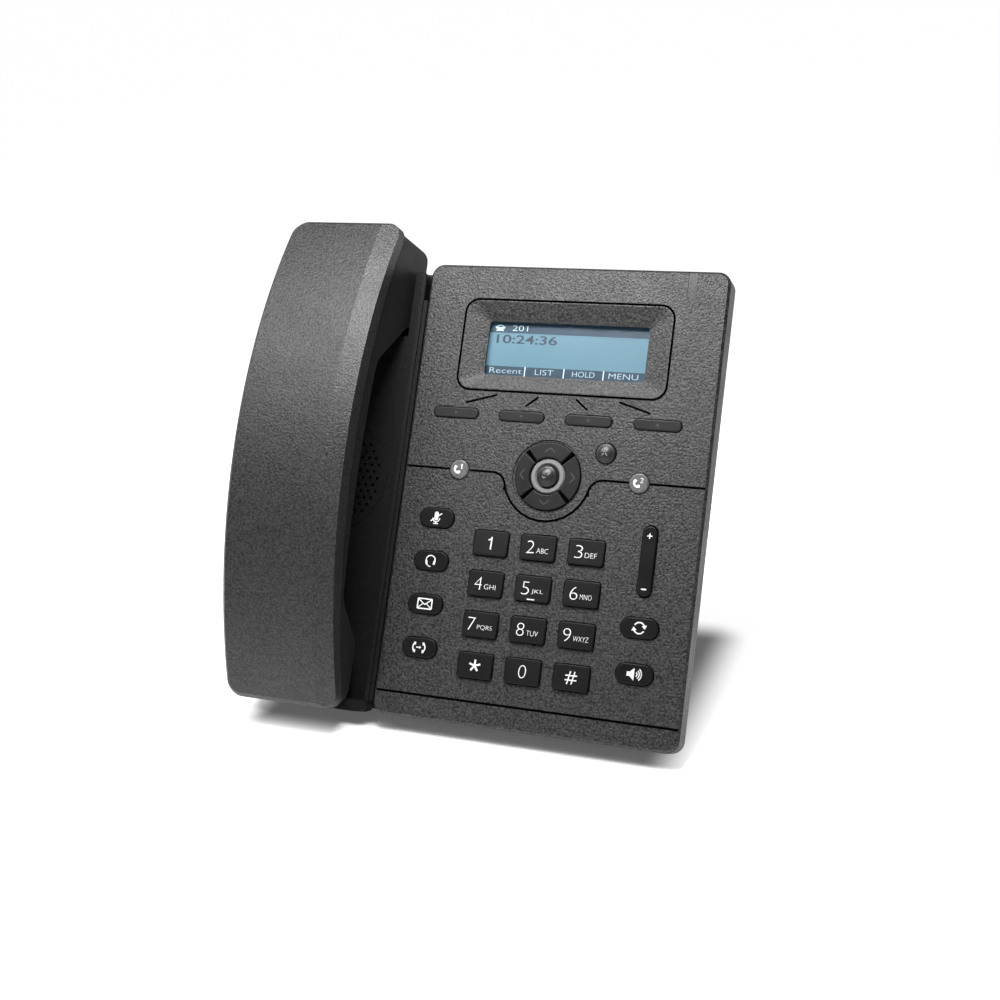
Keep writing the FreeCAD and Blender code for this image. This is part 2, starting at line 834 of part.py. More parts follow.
def handset_cradle():
    cradle = new_body("handset_cradle")
    left = dim("cradle_left")
    right = dim("cradle_right")
    bottom = dim("cradle_bottom")
    top = dim("cradle_top")
    wall = dim("cradle_wall")
    floor = dim("cradle_floor")
    plate = dim("cradle_plate")
    depth = dim("panel_depth")
    well_depth = dim("well_depth")
    middle = (left + right) / 2
    add(cradle, "slab", -depth, 0, [rounded(middle, (bottom + top) / 2, right - left, top - bottom, 6.0)])
    tray = box_outline(left + wall, bottom + 4.5, right - wall, top + 1)
    cut(cradle, "tray", -floor, 1, [tray])
    lower_rim = box_outline(left - 1, bottom - 1, right + 1, bottom + 5)
    cut(cradle, "lower_rim", -1.4, 1, [lower_rim])
    under = box_outline(left + wall, bottom + wall, right - wall, top - wall)
    cut(cradle, "underside", -depth - 1, -floor - plate, [under])
    ledge = box_outline(right - 1, bottom + 5, dim("ledge_right"), dim("ledge_top"))
    add(cradle, "ledge", -depth, -dim("ledge_depth"), [ledge])
    well_right = dim("hand_x") + dim("hand_inner_w") / 2 + 0.9
    low = dim("well_bottom")
    tub = box_outline(left, low - plate, well_right + plate, top)
    add(cradle, "well_tub", -well_depth - plate, -floor - plate / 2, [tub])
    well = box_outline(left + wall, low, well_right, top + 1)
    cut(cradle, "well", -well_depth, 1, [well])
    x = dim("grille_x")
    y = dim("grille_y")
    radius = dim("grille_radius")
    cut(cradle, "grille_seat", -floor - 1, 0, [Circle(x, y, radius + 0.1)])
    cut(cradle, "speaker_hole", -depth - 1, 0, [Circle(x, y, radius - 4.2)])
    cut(cradle, "plunger_hole", -depth - 1, 0, [pill(x, -46.0, 8.0 + 2 * GAP, 5.0 + 2 * GAP)])
    lean(cradle)


def speaker_grille():
    grille = new_body("speaker_grille")
    x = dim("grille_x")
    y = dim("grille_y")
    radius = dim("grille_radius")
    floor = dim("cradle_floor")
    add(grille, "disc", -floor - 1, -floor, [Circle(x, y, radius)])
    soften(grille, "rim", "Chamfer", 0.4, level_with(-floor))
    pitch = dim("grille_pitch")
    hole = dim("grille_hole")
    reach = radius.value - 2.4
    holes = []
    for row in range(-8, 9):
        for column in range(-8, 9):
            across = (column + (row % 2) / 2) * pitch
            along = row * 0.866 * pitch
            if math.hypot(across.value, along.value) < reach:
                holes.append(Circle(x + across, y + along, hole))
    cut(grille, "holes", -floor - 2, 1, holes)
    lean(grille)


def loudspeaker():
    speaker = new_body("loudspeaker")
    x = dim("grille_x")
    y = dim("grille_y")
    top = dim("cradle_floor") + dim("cradle_plate") + 0.1
    add(speaker, "rim", -top - 2.4, -top, [Circle(x, y, 20.0)])
    add(speaker, "basket", -top - 7, -top - 2, [Circle(x, y, 14.0)])
    add(speaker, "magnet", -top - 12, -top - 6.5, [Circle(x, y, 11.0)])
    cut(speaker, "cone", -top - 1.6, 0, [Circle(x, y, 17.5)])
    lean(speaker)


def hook_switch():
    x = dim("grille_x")
    y = -46.0
    plunger = new_body("hook_plunger")
    add(plunger, "stem", -14.0, -0.35, [pill(x, y, 8.0, 5.0)])
    add(plunger, "flange", -13.4, -12.4, [pill(x, y, 11.0, 8.0)])
    soften(plunger, "round_top", "Fillet", 1.0, level_with(-0.35))
    lean(plunger)
    plain_plate("hook_microswitch", -20.5, -14.3, [box_outline(x - 6.4, y - 3, x + 6.4, y + 3)])


def rear_cover():
    cover = new_body("rear_cover")
    left = dim("cover_left")
    right = dim("cover_right")
    low = dim("cover_low")
    high = dim("cover_high")
    slope = dim("cover_lean")
    taper = 8.0
    outline = [
        (low, -COVER_TOP),
        (low + slope * (COVER_BACK - COVER_TOP), -COVER_BACK),
        (high - taper, -COVER_BACK),
        (high, -COVER_TOP),
    ]
    add(cover, "shell", left, right, [outline], role="YZ_Plane")
    side = [
        (right, -COVER_TOP - 1),
        (right + 1, -COVER_TOP - 1),
        (right + 1, -COVER_BACK - 1),
        (right - 6, -COVER_BACK - 1),
    ]
    cut(cover, "side_slope", -high - 1, -low + 1, [side], role="XZ_Plane")
    wall = COVER_WALL
    lip = wall * 1.2
    cavity = [
        (low + lip, 1 - COVER_TOP),
        (low + lip + slope * (COVER_BACK - wall - COVER_TOP), wall - COVER_BACK),
        (high - taper - wall, wall - COVER_BACK),
        (high - lip, 1 - COVER_TOP),
    ]
    cut(cover, "cavity", left + wall, right - 8, [cavity], role="YZ_Plane")
    posts = [Circle(x, y, 4.2) for x, y in SCREWS]
    add(cover, "screw_posts", -COVER_BACK + 1.5, -COVER_TOP, posts)
    bores = [Circle(x, y, dim("screw_radius") + GAP) for x, y in SCREWS]
    cut(cover, "screw_bores", -COVER_BACK - 1, 0, bores)
    recesses = [Circle(x, y, dim("head_radius") + GAP) for x, y in SCREWS]
    cut(cover, "head_recesses", -COVER_BACK - 1, -COVER_BACK + 5, recesses)
    well = box_outline(left - 2, dim("well_bottom") - 2.2, dim("hand_x") + 26, high + 2)
    cut(cover, "well_clearance", -dim("well_depth") - 1.8, 0, [well])
    pedestal = box_outline(dim("grille_x") - 7, -50, dim("grille_x") + 7, -42)
    add(cover, "switch_pedestal", -COVER_BACK + 1, -20.5, [pedestal])
    cable_bay(cover)
    lean(cover)


def cable_bay(cover):
    """The recess in the back that the sockets open into, and the slots that hold the stand."""
    left = dim("bay_left")
    right = dim("bay_right")
    bottom = dim("bay_bottom")
    floor = dim("bay_floor")
    skin = 1.8
    tub = box_outline(left - skin, bottom - skin, right + skin, PORT_FACE + skin)
    add(cover, "bay_tub", -COVER_BACK + 1, -floor + skin, [tub])
    cut(cover, "bay", -COVER_BACK - 1, -floor, [box_outline(left, bottom, right, PORT_FACE)])
    windows = [box_outline(x - 8.2, -23.2, x + 8.2, -9) for x in RJ45_X]
    windows += [box_outline(x - 5.7, -20.2, x + 5.7, -9) for x in RJ9_X]
    windows.append(box_outline(DC_X - 4.7, -20.2, DC_X + 4.7, -9))
    cut(cover, "socket_windows", -PORT_FACE - skin - 1, -PORT_FACE + 1, windows, role="XZ_Plane")
    slots = [box_outline(x - 10, HOOK_Y - 2, x + 10, HOOK_Y + 2) for x in HOOKS_X]
    cut(cover, "stand_slots", -COVER_BACK - 1, -COVER_BACK + COVER_WALL + 1, slots)


def sockets():
    board = -dim("board_base")
    rj45 = new_body("rj45_ports")
    face = -PORT_FACE - 0.2
    add(rj45, "shells", face - 18, face, [box_outline(x - 8, -23, x + 8, board) for x in RJ45_X], role="XZ_Plane")
    holes = [box_outline(x - 5.9, -21.2, x + 5.9, -13.0) for x in RJ45_X]
    cut(rj45, "sockets", face - 12, face + 1, holes, role="XZ_Plane")
    tabs = [box_outline(x - 3.0, -13.5, x + 3.0, -11.0) for x in RJ45_X]
    cut(rj45, "latch_slots", face - 8, face + 1, tabs, role="XZ_Plane")
    lean(rj45)
    rj9 = new_body("rj9_ports")
    add(rj9, "shells", face - 14, face, [box_outline(x - 5.5, -20, x + 5.5, board) for x in RJ9_X], role="XZ_Plane")
    holes = [box_outline(x - 3.9, -18.6, x + 3.9, -12.0) for x in RJ9_X]
    cut(rj9, "sockets", face - 10, face + 1, holes, role="XZ_Plane")
    tabs = [box_outline(x - 1.6, -12.5, x + 1.6, -10.4) for x in RJ9_X]
    cut(rj9, "latch_slots", face - 7, face + 1, tabs, role="XZ_Plane")
    lean(rj9)
    power = new_body("dc_jack")
    add(power, "shell", face - 13, face, [box_outline(DC_X - 4.5, -20, DC_X + 4.5, board)], role="XZ_Plane")
    cut(power, "barrel", face - 10, face + 1, [Circle(DC_X, -15.0, 3.0)], role="XZ_Plane")
    add(power, "pin", face - 11, face - 1, [Circle(DC_X, -15.0, 0.8)], role="XZ_Plane")
    lean(power)


def case_screws():
    screws = new_body("case_screws")
    seat = -COVER_BACK + 5
    add(screws, "shanks", seat - 1, -5.0, [Circle(x, y, dim("screw_radius")) for x, y in SCREWS])
    add(screws, "heads", seat - 1.8, seat, [Circle(x, y, dim("head_radius")) for x, y in SCREWS])
    lean(screws)


def microphone():
    plain_plate("microphone", -dim("board_top"), -3.4, [Circle(30.0, -64.0, 2.4)])


# Handset

HAND_X = dim("hand_x")
HAND_MID = dim("hand_mid")
HAND_LOW = dim("hand_low")
HAND_HIGH = dim("hand_high")
HAND_SCREW_Y = [-4.5, 59.5]


def outer_height(y, inset=0):
    """Height of the back of the handset at this place along it."""
    return dim("hand_crown") - drop_from(dim("hand_radius") - inset, y) - inset


def drop_from(radius, y):
    return radius - root(radius * radius - (y - HAND_MID) * (y - HAND_MID))


def parting_height(y):
    return dim("part_crown") - drop_from(dim("part_radius"), y)


def handset_outer_shell():
    shell = new_body("handset_outer_shell")
    half = dim("hand_w") / 2
    crown_y = dim("hand_crown") - dim("hand_radius")
    part_y = dim("part_crown") - dim("part_radius")
    outline = [
        (HAND_LOW, parting_height(HAND_LOW)),
        (HAND_LOW, outer_height(HAND_LOW)),
        (HAND_HIGH, outer_height(HAND_HIGH), HAND_MID, crown_y, -1),
        (HAND_HIGH, parting_height(HAND_HIGH)),
        (HAND_LOW, parting_height(HAND_LOW), HAND_MID, part_y, 1),
    ]
    add(shell, "arched_bar", HAND_X - half, HAND_X + half, [outline], role="YZ_Plane")
    soften(shell, "round_corners", "Fillet", 6.0, upright(4))

    def back_rim(bounds, edge):
        """The edges round the back of the handset."""
        point = edge.valueAt((edge.FirstParameter + edge.LastParameter) / 2)
        return point.z > parting_height(point.y).value + 5

    soften(shell, "back_bevel", "Chamfer", 1.5, back_rim)
    facet_cut(shell)
    wall = dim("hand_wall")
    inner_low = HAND_LOW + wall
    inner_high = HAND_HIGH - wall
    hollow = [
        (inner_low, -10),
        (inner_low, outer_height(inner_low, wall)),
        (inner_high, outer_height(inner_high, wall), HAND_MID, crown_y, -1),
        (inner_high, -10),
    ]
    inset = dim("facet_drop") + 1
    cut(shell, "hollow", HAND_X - half + wall, HAND_X + half - inset, [hollow], role="YZ_Plane")
    bosses = [Circle(HAND_X, y, 3.0) for y in HAND_SCREW_Y]
    add(shell, "screw_bosses", 21.7, 33.0, bosses)
    cut(shell, "screw_pilots", 20, 30, [Circle(HAND_X, y, dim("screw_radius")) for y in HAND_SCREW_Y])
    window = box_outline(HAND_X - 4.2, 2.8, HAND_X + 4.2, 10.0)
    cut(shell, "cord_window", -HAND_LOW - 3, -HAND_LOW + 1, [window], role="XZ_Plane")
    lean(shell)


def facet_cut(shell):
    """The sloping facet along the right side, turned about the axis of the arched back."""
    right = HAND_X + dim("hand_w") / 2
    crown = dim("hand_crown")
    width = dim("facet_w")
    fall = dim("facet_drop")
    sketch = shell.newObject("Sketcher::SketchObject", "facet_sketch")
    sketch.AttachmentSupport = [(own_plane(shell, "XZ_Plane"), "")]
    sketch.MapMode = "FlatFace"
    sketch.setExpression("AttachmentOffset.Base.z", (-HAND_MID).text)
    drawing = Drawing(sketch)
    drawing.outline([
        (right - width, crown),
        (right + 2, crown - fall * (width + 2) / width),
        (right + 2, crown + 2),
        (right - width, crown + 2),
    ])
    axis_height = crown - dim("hand_radius")
    start = FreeCAD.Vector(right.value - 10, axis_height.value, 0)
    end = FreeCAD.Vector(right.value, axis_height.value, 0)
    axis = Part.LineSegment(start, end)
    drawing.finish()
    number = sketch.addGeometry(axis, True)
    sketch.addConstraint(Sketcher.Constraint("Horizontal", number))
    pin = sketch.addConstraint(Sketcher.Constraint("DistanceY", -1, 1, number, 1, axis_height.value))
    sketch.setExpression("Constraints[%d]" % pin, axis_height.text)
    before = shell.Tip.Shape.Volume
    groove = shell.newObject("PartDesign::Groove", "facet")
    groove.Profile = (sketch, [""])
    groove.ReferenceAxis = (sketch, ["Axis0"])
    groove.Angle = 80
    groove.Midplane = True
    doc.recompute()
    if groove.Shape.Volume > before - 1:
        raise RuntimeError("the facet takes nothing away")


def inner_outline():
    """Side view of the inner shell: mouth cup, grip and ear cup."""
    low = HAND_LOW + 0.6
    high = HAND_HIGH - 0.5
    part_y = dim("part_crown") - dim("part_radius")
    mouth = dim("mouth_face")
    ear = dim("ear_face")
    grip = dim("grip_z")
    grip_low = -29.0
    grip_high = 65.0
    rise = dim("grip_rise")
    half_chord = (grip_high - grip_low) / 2
    radius = (half_chord * half_chord + rise * rise) / (2 * rise)
    return [
        (low, parting_height(low)),
        (low, mouth),
        (-43.5, mouth),
        (grip_low, grip),
        (grip_high, grip, (grip_low + grip_high) / 2, grip + rise - radius, -1),
        (84.0, -6.0),
        (89.5, ear),
        (high, ear),
        (high, parting_height(high)),
        (low, parting_height(low), HAND_MID, part_y, 1),
    ]


def along_x(places, reach=1.5):
    """A test for edges that run across the handset near one of these places in its side view."""

    def test(bounds, _):
        if bounds.YLength > 1e-3 or bounds.ZLength > 1e-3:
            return False
        for y, z in places:
            if abs(bounds.YMin - y) < reach and abs(bounds.ZMin - z) < reach:
                return True
        return False

    return test


def handset_inner_shell():
    shell = new_body("handset_inner_shell")
    half = dim("hand_inner_w") / 2
    add(shell, "arched_bar", HAND_X - half, HAND_X + half, [inner_outline()], role="YZ_Plane")

    def low_corners(bounds, _):
        return bounds.XLength < 1e-3 and bounds.YLength < 1e-3 and bounds.YMax < HAND_LOW.value + 2

    def high_corners(bounds, _):
        return bounds.XLength < 1e-3 and bounds.YLength < 1e-3 and bounds.YMin > HAND_HIGH.value - 2

    soften(shell, "mouth_corners", "Fillet", 8.0, low_corners)
    soften(shell, "ear_corners", "Fillet", 6.0, high_corners)
    grip = dim("grip_z")
    soften(shell, "grip_blends", "Fillet", 9.0, along_x([(-29.0, grip.value), (65.0, grip.value)]))
    soften(shell, "mouth_blend", "Fillet", 7.0, along_x([(-43.5, 0.0)]))
    soften(shell, "ear_blend", "Fillet", 5.0, along_x([(84.0, -6.0)]))
    soften(shell, "ear_rim", "Fillet", 1.5, level_with(dim("ear_face")))
    wall = dim("hand_wall")
    hollow = [
        (HAND_LOW + 2.8, 45),
        (HAND_LOW + 2.8, 2),
        (-44.5, 2),
        (-30.0, grip + 2.5),
        (18.0, grip + 5.2),
        (66.5, grip + 2.2),
        (86.5, -7.0),
        (91.0, dim("ear_face") + wall),
        (HAND_HIGH - 2.6, dim("ear_face") + wall),
        (HAND_HIGH - 2.6, 45),
    ]
    cut(shell, "hollow", HAND_X - half + wall, HAND_X + half - wall, [hollow], role="YZ_Plane")
    seats = [Circle(HAND_X, y, 4.4) for y in HAND_SCREW_Y]
    add(shell, "screw_seats", grip + 1.5, 21.5, seats)
    recesses = [Circle(HAND_X, y, dim("head_radius") + GAP) for y in HAND_SCREW_Y]
    cut(shell, "head_recesses", 0, grip + 3.4, recesses)
    bores = [Circle(HAND_X, y, dim("screw_radius") + GAP) for y in HAND_SCREW_Y]
    cut(shell, "screw_bores", 0, 30, bores)
    sound = [Circle(HAND_X, 104.0, 0.8)]
    for number in range(6):
        angle = 60 * number
        sound.append(Circle(HAND_X + 5.0 * cosine(angle), 104.0 + 5.0 * sine(angle), 0.8))
    cut(shell, "ear_holes", -21, -17, sound)
    cut(shell, "mouth_hole", -1, 2.5, [Circle(HAND_X, -52.0, 0.8)])
    window = box_outline(HAND_X - 4.2, 2.8, HAND_X + 4.2, 10.0)
    cut(shell, "cord_window", -HAND_LOW - 4, -HAND_LOW + 1, [window], role="XZ_Plane")
    lean(shell)


def handset_insides():
    plain_plate("handset_receiver", -17.3, -8.5, [Circle(HAND_X, 104.5, 12.5)])
    plain_plate("handset_microphone", 2.3, 6.0, [Circle(HAND_X, -50.0, 4.0)])
    plain_plate("handset_weight", 22.0, 29.0, [rounded(HAND_X, 27.5, 18.0, 52.0, 2.0)])
    jack = new_body("handset_jack")
    back = -HAND_LOW - 3.0
    outline = box_outline(HAND_X - 5.5, 2.1, HAND_X + 5.5, 10.6)
    add(jack, "shell", back - 12, back, [outline], role="XZ_Plane")
    hole = box_outline(HAND_X - 3.9, 3.0, HAND_X + 3.9, 9.6)
    cut(jack, "socket", back - 9, back + 1, [hole], role="XZ_Plane")
    lean(jack)
    screws = new_body("handset_screws")
    seat = dim("grip_z") + 3.4
    add(screws, "shanks", seat - 1, 29.0, [Circle(HAND_X, y, dim("screw_radius")) for y in HAND_SCREW_Y])
    add(screws, "heads", seat - 1.8, seat, [Circle(HAND_X, y, dim("head_radius")) for y in HAND_SCREW_Y])
    lean(screws)


# Stand


def upright_point(y, z):
    """A point of the face frame's side view, as seen in the upright side view."""
    tilt = dim("face_tilt")
    return (y * cosine(tilt) - z * sine(tilt), y * sine(tilt) + z * cosine(tilt))


def desk_stand():
    stand = new_body("desk_stand")
    plate = dim("stand_plate")
    table = -dim("face_height")
    low = table + dim("foot_height")
    half = dim("stand_w") / 2
    x = dim("stand_x")
    outline = [
        (-22.0, low),
        (86.0, low),
        upright_point(74.0, -COVER_BACK - 2 * plate),
        upright_point(74.0, -COVER_BACK),
        upright_point(30.0, -COVER_BACK),
        upright_point(30.0, -COVER_BACK - plate),
        upright_point(68.0, -COVER_BACK - plate),
        (82.6, low + plate),
        (-22.0, low + plate),
    ]
    add(stand, "bent_plate", x - half, x + half, [outline], role="YZ_Plane")

    def heel(bounds, _):
        across = bounds.YLength < 1e-3 and bounds.ZLength < 1e-3
        return across and bounds.YMin > 82 and bounds.ZMax < low.value + 4

    soften(stand, "heel", "Fillet", 2.5, heel)
    for number, middle in enumerate(HOOKS_X, start=1):
        hook = [
            upright_point(HOOK_Y - 1.7, -COVER_BACK),
            upright_point(HOOK_Y + 1.7, -COVER_BACK),
            upright_point(HOOK_Y + 1.7, -COVER_BACK + 4),
            upright_point(HOOK_Y - 1.7, -COVER_BACK + 4),
        ]
        add(stand, "hook_%d" % number, middle - 9.7, middle + 9.7, [hook], role="YZ_Plane")
    window = rounded(x, 30.0, 70.0, 60.0, 6.0)
    cut(stand, "foot_window", low - 1, low + plate + 1, [window])
    lean_slot = rounded(x, -18.0, 64.0, 60.0, 6.0)
    cut(stand, "leg_window", -110, -62, [lean_slot], role="XZ_Plane")
    stand_up(stand)


def rubber_feet():
    feet = new_body("rubber_feet")
    table = -dim("face_height")
    x = dim("stand_x")
    places = [(x - 50, -13.0), (x + 50, -13.0), (x - 50, 75.0), (x + 50, 75.0)]
    pads = [Circle(across, along, dim("foot_radius")) for across, along in places]
    add(feet, "pads", table, table + dim("foot_height"), pads)
    stand_up(feet)


def check_and_write():
    doc.recompute()
    for item in doc.Objects:
        if "Invalid" in item.State or "Error" in item.State:
            raise RuntimeError("%s failed: %s" % (item.Label, item.State))
    os.makedirs("parts", exist_ok=True)
    whole = FreeCAD.BoundBox()
    for body in PARTS:
        shape = body.Shape
        if shape.isNull() or not shape.isValid():
            raise RuntimeError("%s has no valid shape" % body.Label)
        whole.add(shape.BoundBox)
        shape.exportStep("parts/%s.step" % body.Label)
    print("parts:", len(PARTS))
    print("box: %s" % whole)


front_panel()
display_bezel()
display_stack()
message_light()
boards()
dial_pad()
pill_keys()
round_keys()
navigation()
volume_rocker()
handset_cradle()
speaker_grille()
loudspeaker()
hook_switch()
rear_cover()
sockets()
case_screws()
microphone()
handset_outer_shell()
handset_inner_shell()
handset_insides()
desk_stand()
rubber_feet()
check_and_write()
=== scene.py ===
import json
import math

import bmesh
import bpy
from mathutils import Euler, Matrix, Vector


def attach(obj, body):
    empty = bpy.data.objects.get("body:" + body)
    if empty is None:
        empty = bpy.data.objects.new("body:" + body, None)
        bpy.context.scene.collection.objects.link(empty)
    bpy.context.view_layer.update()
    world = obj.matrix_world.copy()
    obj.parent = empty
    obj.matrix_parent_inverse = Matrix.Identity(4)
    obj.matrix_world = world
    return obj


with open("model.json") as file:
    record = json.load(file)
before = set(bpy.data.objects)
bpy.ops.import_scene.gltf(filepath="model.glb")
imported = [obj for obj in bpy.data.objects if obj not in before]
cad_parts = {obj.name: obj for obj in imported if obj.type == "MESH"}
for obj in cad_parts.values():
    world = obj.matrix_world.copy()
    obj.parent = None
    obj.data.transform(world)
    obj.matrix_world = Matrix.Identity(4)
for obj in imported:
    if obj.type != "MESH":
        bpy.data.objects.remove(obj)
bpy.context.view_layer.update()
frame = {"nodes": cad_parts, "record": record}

# The face frame of the CAD model: X right, Y up along the face, Z out of it, with its origin on the face at
# the middle of key 2. Sizes here are in millimetres, and are turned into metres as a piece is made.
MM = 0.001
TILT = math.radians(60)
FACE_ORIGIN = Vector((27.8, -19.94, 67.6)) * MM
FACE = Matrix.Translation(FACE_ORIGIN) @ Matrix.Rotation(TILT, 4, "X")

PAD_PITCH_X = 19.0
PAD_PITCH_Y = 15.575
KEY_SLOPE = math.atan2(1.0, 10.3)
SIDE_X = 42.45
SIDE_Y = 7.9
SIDE_PITCH = 16.8
NAV_Y = 27.5
SOFT_Y = 49.75
SOFT_PITCH = 26.9
LINE_X = 35.85
CANCEL_X = 21.8
CANCEL_Y = 37.8
ROCKER_Y = -1.1
STRIP_Y = -60.3
GROOVE_LEFT = -57.9
GROOVE_RIGHT = 60.6
SWIRL_X = 22.01
SWIRL_CORNER = 5.34
SWIRL_RADIUS = 17.3
BEZEL_Y = 77.5
BEZEL_W = 83.1
BEZEL_L = 35.5
BEZEL_CORNER = 5.0

# How far the tops of the keys stand above the face.
KEY_TOP = 0.85
SIDE_KEY_TOP = 0.9
ROCKER_TOP = 1.1
LINE_KEY_TOP = 0.8
SOFT_KEY_TOP = 0.6
NAV_KEY_TOP = 0.5
CANCEL_CROWN_TOP = 2.05
OK_CROWN_TOP = 2.2

PRINT_LIFT = 0.015
PRINT_THICKNESS = 0.03
# Width of the black painted shade laid over the engraved lines and the gap round the display's frame.
PAINTED_SHADE_WIDTH = 0.85

# The floor's glow is turned down to paint a shadow over this half width and half depth, in metres; the painted
# shadow fades out over SHADOW_FADE.
SHADOW_FOOTPRINT = (0.075, 0.051, 0)
SHADOW_FADE = 0.02

CAMERA_PLACE = (171.41, -49.83, 518.83)
CAMERA_TURN = (9.494, 18.974, 7.788)
FOCAL_LENGTH = 52.394


# Shader helpers


def material(name):
    """A new material with its node tree emptied down to a Principled shader and its output."""
    made = bpy.data.materials.new(name)
    made.use_nodes = True
    tree = made.node_tree
    return made, tree, tree.nodes["Principled BSDF"]


def texture_space(tree):
    return tree.nodes.new("ShaderNodeTexCoord").outputs["Object"]


def noise(tree, scale, detail=3.0, rough=0.5):
    node = tree.nodes.new("ShaderNodeTexNoise")
    node.inputs["Scale"].default_value = scale
    node.inputs["Detail"].default_value = detail
    node.inputs["Roughness"].default_value = rough
    tree.links.new(texture_space(tree), node.inputs["Vector"])
    return node.outputs["Fac"]


def spread(tree, value, low, high, new_low, new_high):
    """Maps a noise value from one range to another."""
    node = tree.nodes.new("ShaderNodeMapRange")
    node.inputs["From Min"].default_value = low
    node.inputs["From Max"].default_value = high
    node.inputs["To Min"].default_value = new_low
    node.inputs["To Max"].default_value = new_high
    tree.links.new(value, node.inputs["Value"])
    return node.outputs["Result"]


def two_tone(tree, value, dark, light):
    node = tree.nodes.new("ShaderNodeMix")
    node.data_type = "RGBA"
    node.inputs["A"].default_value = (*dark, 1)
    node.inputs["B"].default_value = (*light, 1)
    tree.links.new(value, node.inputs["Factor"])
    return node.outputs["Result"]


def bump(tree, shader, value, strength, depth):
    node = tree.nodes.new("ShaderNodeBump")
    node.inputs["Strength"].default_value = strength
    node.inputs["Distance"].default_value = depth
    tree.links.new(value, node.inputs["Height"])
    tree.links.new(node.outputs["Normal"], shader.inputs["Normal"])


def grained_plastic(name, tone, grain, depth, rough, specular=0.35, mottle=0.15):
    """Moulded plastic: a spark-eroded grain, with small changes of tone and gloss.

    tone is the grey, grain the size of the texture in millimetres and depth its height in millimetres.
    mottle is how much lighter or darker than the tone the grain gets."""
    made, tree, shader = material(name)
    fine = noise(tree, 1000 / grain, 2.0, 0.6)
    cloud = noise(tree, 60.0, 2.0)
    shade = spread(tree, fine, 0.35, 0.65, 0.0, 1.0)
    dark = tuple(channel * (1 - mottle) for channel in tone)
    light = tuple(channel * (1 + mottle) for channel in tone)
    tree.links.new(two_tone(tree, shade, dark, light), shader.inputs["Base Color"])
    tree.links.new(spread(tree, cloud, 0.3, 0.7, rough - 0.05, rough + 0.06), shader.inputs["Roughness"])
    shader.inputs["Specular IOR Level"].default_value = specular
    bump(tree, shader, fine, 0.55, depth * MM)
    return made


def smooth_plastic(name, tone, rough, specular=0.5, coat=0.0):
    """Polished or satin plastic with faint ripples and a little handling haze."""
    made, tree, shader = material(name)
    ripple = noise(tree, 350.0, 2.0)
    haze = noise(tree, 90.0, 4.0, 0.65)
    dark = tuple(channel * 0.93 for channel in tone)
    light = tuple(channel * 1.07 for channel in tone)
    tree.links.new(two_tone(tree, haze, dark, light), shader.inputs["Base Color"])
    tree.links.new(spread(tree, haze, 0.3, 0.7, rough * 0.85, rough * 1.2), shader.inputs["Roughness"])
    shader.inputs["Specular IOR Level"].default_value = specular
    shader.inputs["Coat Weight"].default_value = coat
    shader.inputs["Coat Roughness"].default_value = 0.08
    bump(tree, shader, ripple, 0.05, 0.05 * MM)
    return made


def translucent_plastic(name, grey, specular):
    """Frosted light guide: milky, with light from inside."""
    made, tree, shader = material(name)
    haze = noise(tree, 400.0, 3.0)
    dark = (grey * 0.88, grey * 0.885, grey * 0.89)
    light = (grey * 1.12, grey * 1.13, grey * 1.14)
    tree.links.new(two_tone(tree, haze, dark, light), shader.inputs["Base Color"])
    tree.links.new(spread(tree, haze, 0.3, 0.7, 0.22, 0.34), shader.inputs["Roughness"])
    shader.inputs["Specular IOR Level"].default_value = specular
    shader.inputs["Subsurface Weight"].default_value = 0.15
    shader.inputs["Subsurface Scale"].default_value = 0.002
    bump(tree, shader, haze, 0.08, 0.05 * MM)
    return made


def clear_lens():
    made, tree, shader = material("lens_clear")
    haze = noise(tree, 120.0, 3.0)
    tree.links.new(two_tone(tree, haze, (0.015, 0.018, 0.02), (0.02, 0.024, 0.026)), shader.inputs["Base Color"])
    tree.links.new(spread(tree, haze, 0.3, 0.7, 0.03, 0.07), shader.inputs["Roughness"])
    shader.inputs["Alpha"].default_value = 0.12
    return made


def lit_display(name, dark, light, glow):
    """A backlit layer: a soft glow that is a little uneven, with the fine rows of its cells."""
    made, tree, shader = material(name)
    uneven = noise(tree, 25.0, 1.0)
    colour = two_tone(tree, spread(tree, uneven, 0.3, 0.7, 0.0, 1.0), dark, light)
    tree.links.new(colour, shader.inputs["Base Color"])
    tree.links.new(colour, shader.inputs["Emission Color"])
    shader.inputs["Emission Strength"].default_value = glow
    cells = noise(tree, 3000.0, 1.0)
    tree.links.new(spread(tree, cells, 0.3, 0.7, 0.3, 0.4), shader.inputs["Roughness"])
    bump(tree, shader, cells, 0.05, 0.02 * MM)
    return made


def ink(name, tone, rough=0.55, specular=0.5):
    """Printed ink: nearly even, with the slight mottle of a pad print."""
    made, tree, shader = material(name)
    mottle = noise(tree, 4000.0, 2.0)
    dark = tuple(channel * 0.92 for channel in tone)
    tree.links.new(two_tone(tree, mottle, dark, tone), shader.inputs["Base Color"])
    shader.inputs["Roughness"].default_value = rough
    shader.inputs["Specular IOR Level"].default_value = specular
    bump(tree, shader, mottle, 0.1, 0.01 * MM)
    return made


def board_mask():
    """Green solder mask over a copper pattern."""
    made, tree, shader = material("board_green")
    tracks = noise(tree, 500.0, 0.0)
    lines = spread(tree, tracks, 0.49, 0.51, 0.0, 1.0)
    tree.links.new(two_tone(tree, lines, (0.012, 0.09, 0.035), (0.02, 0.14, 0.055)), shader.inputs["Base Color"])
    shader.inputs["Roughness"].default_value = 0.3
    bump(tree, shader, lines, 0.3, 0.03 * MM)
    return made


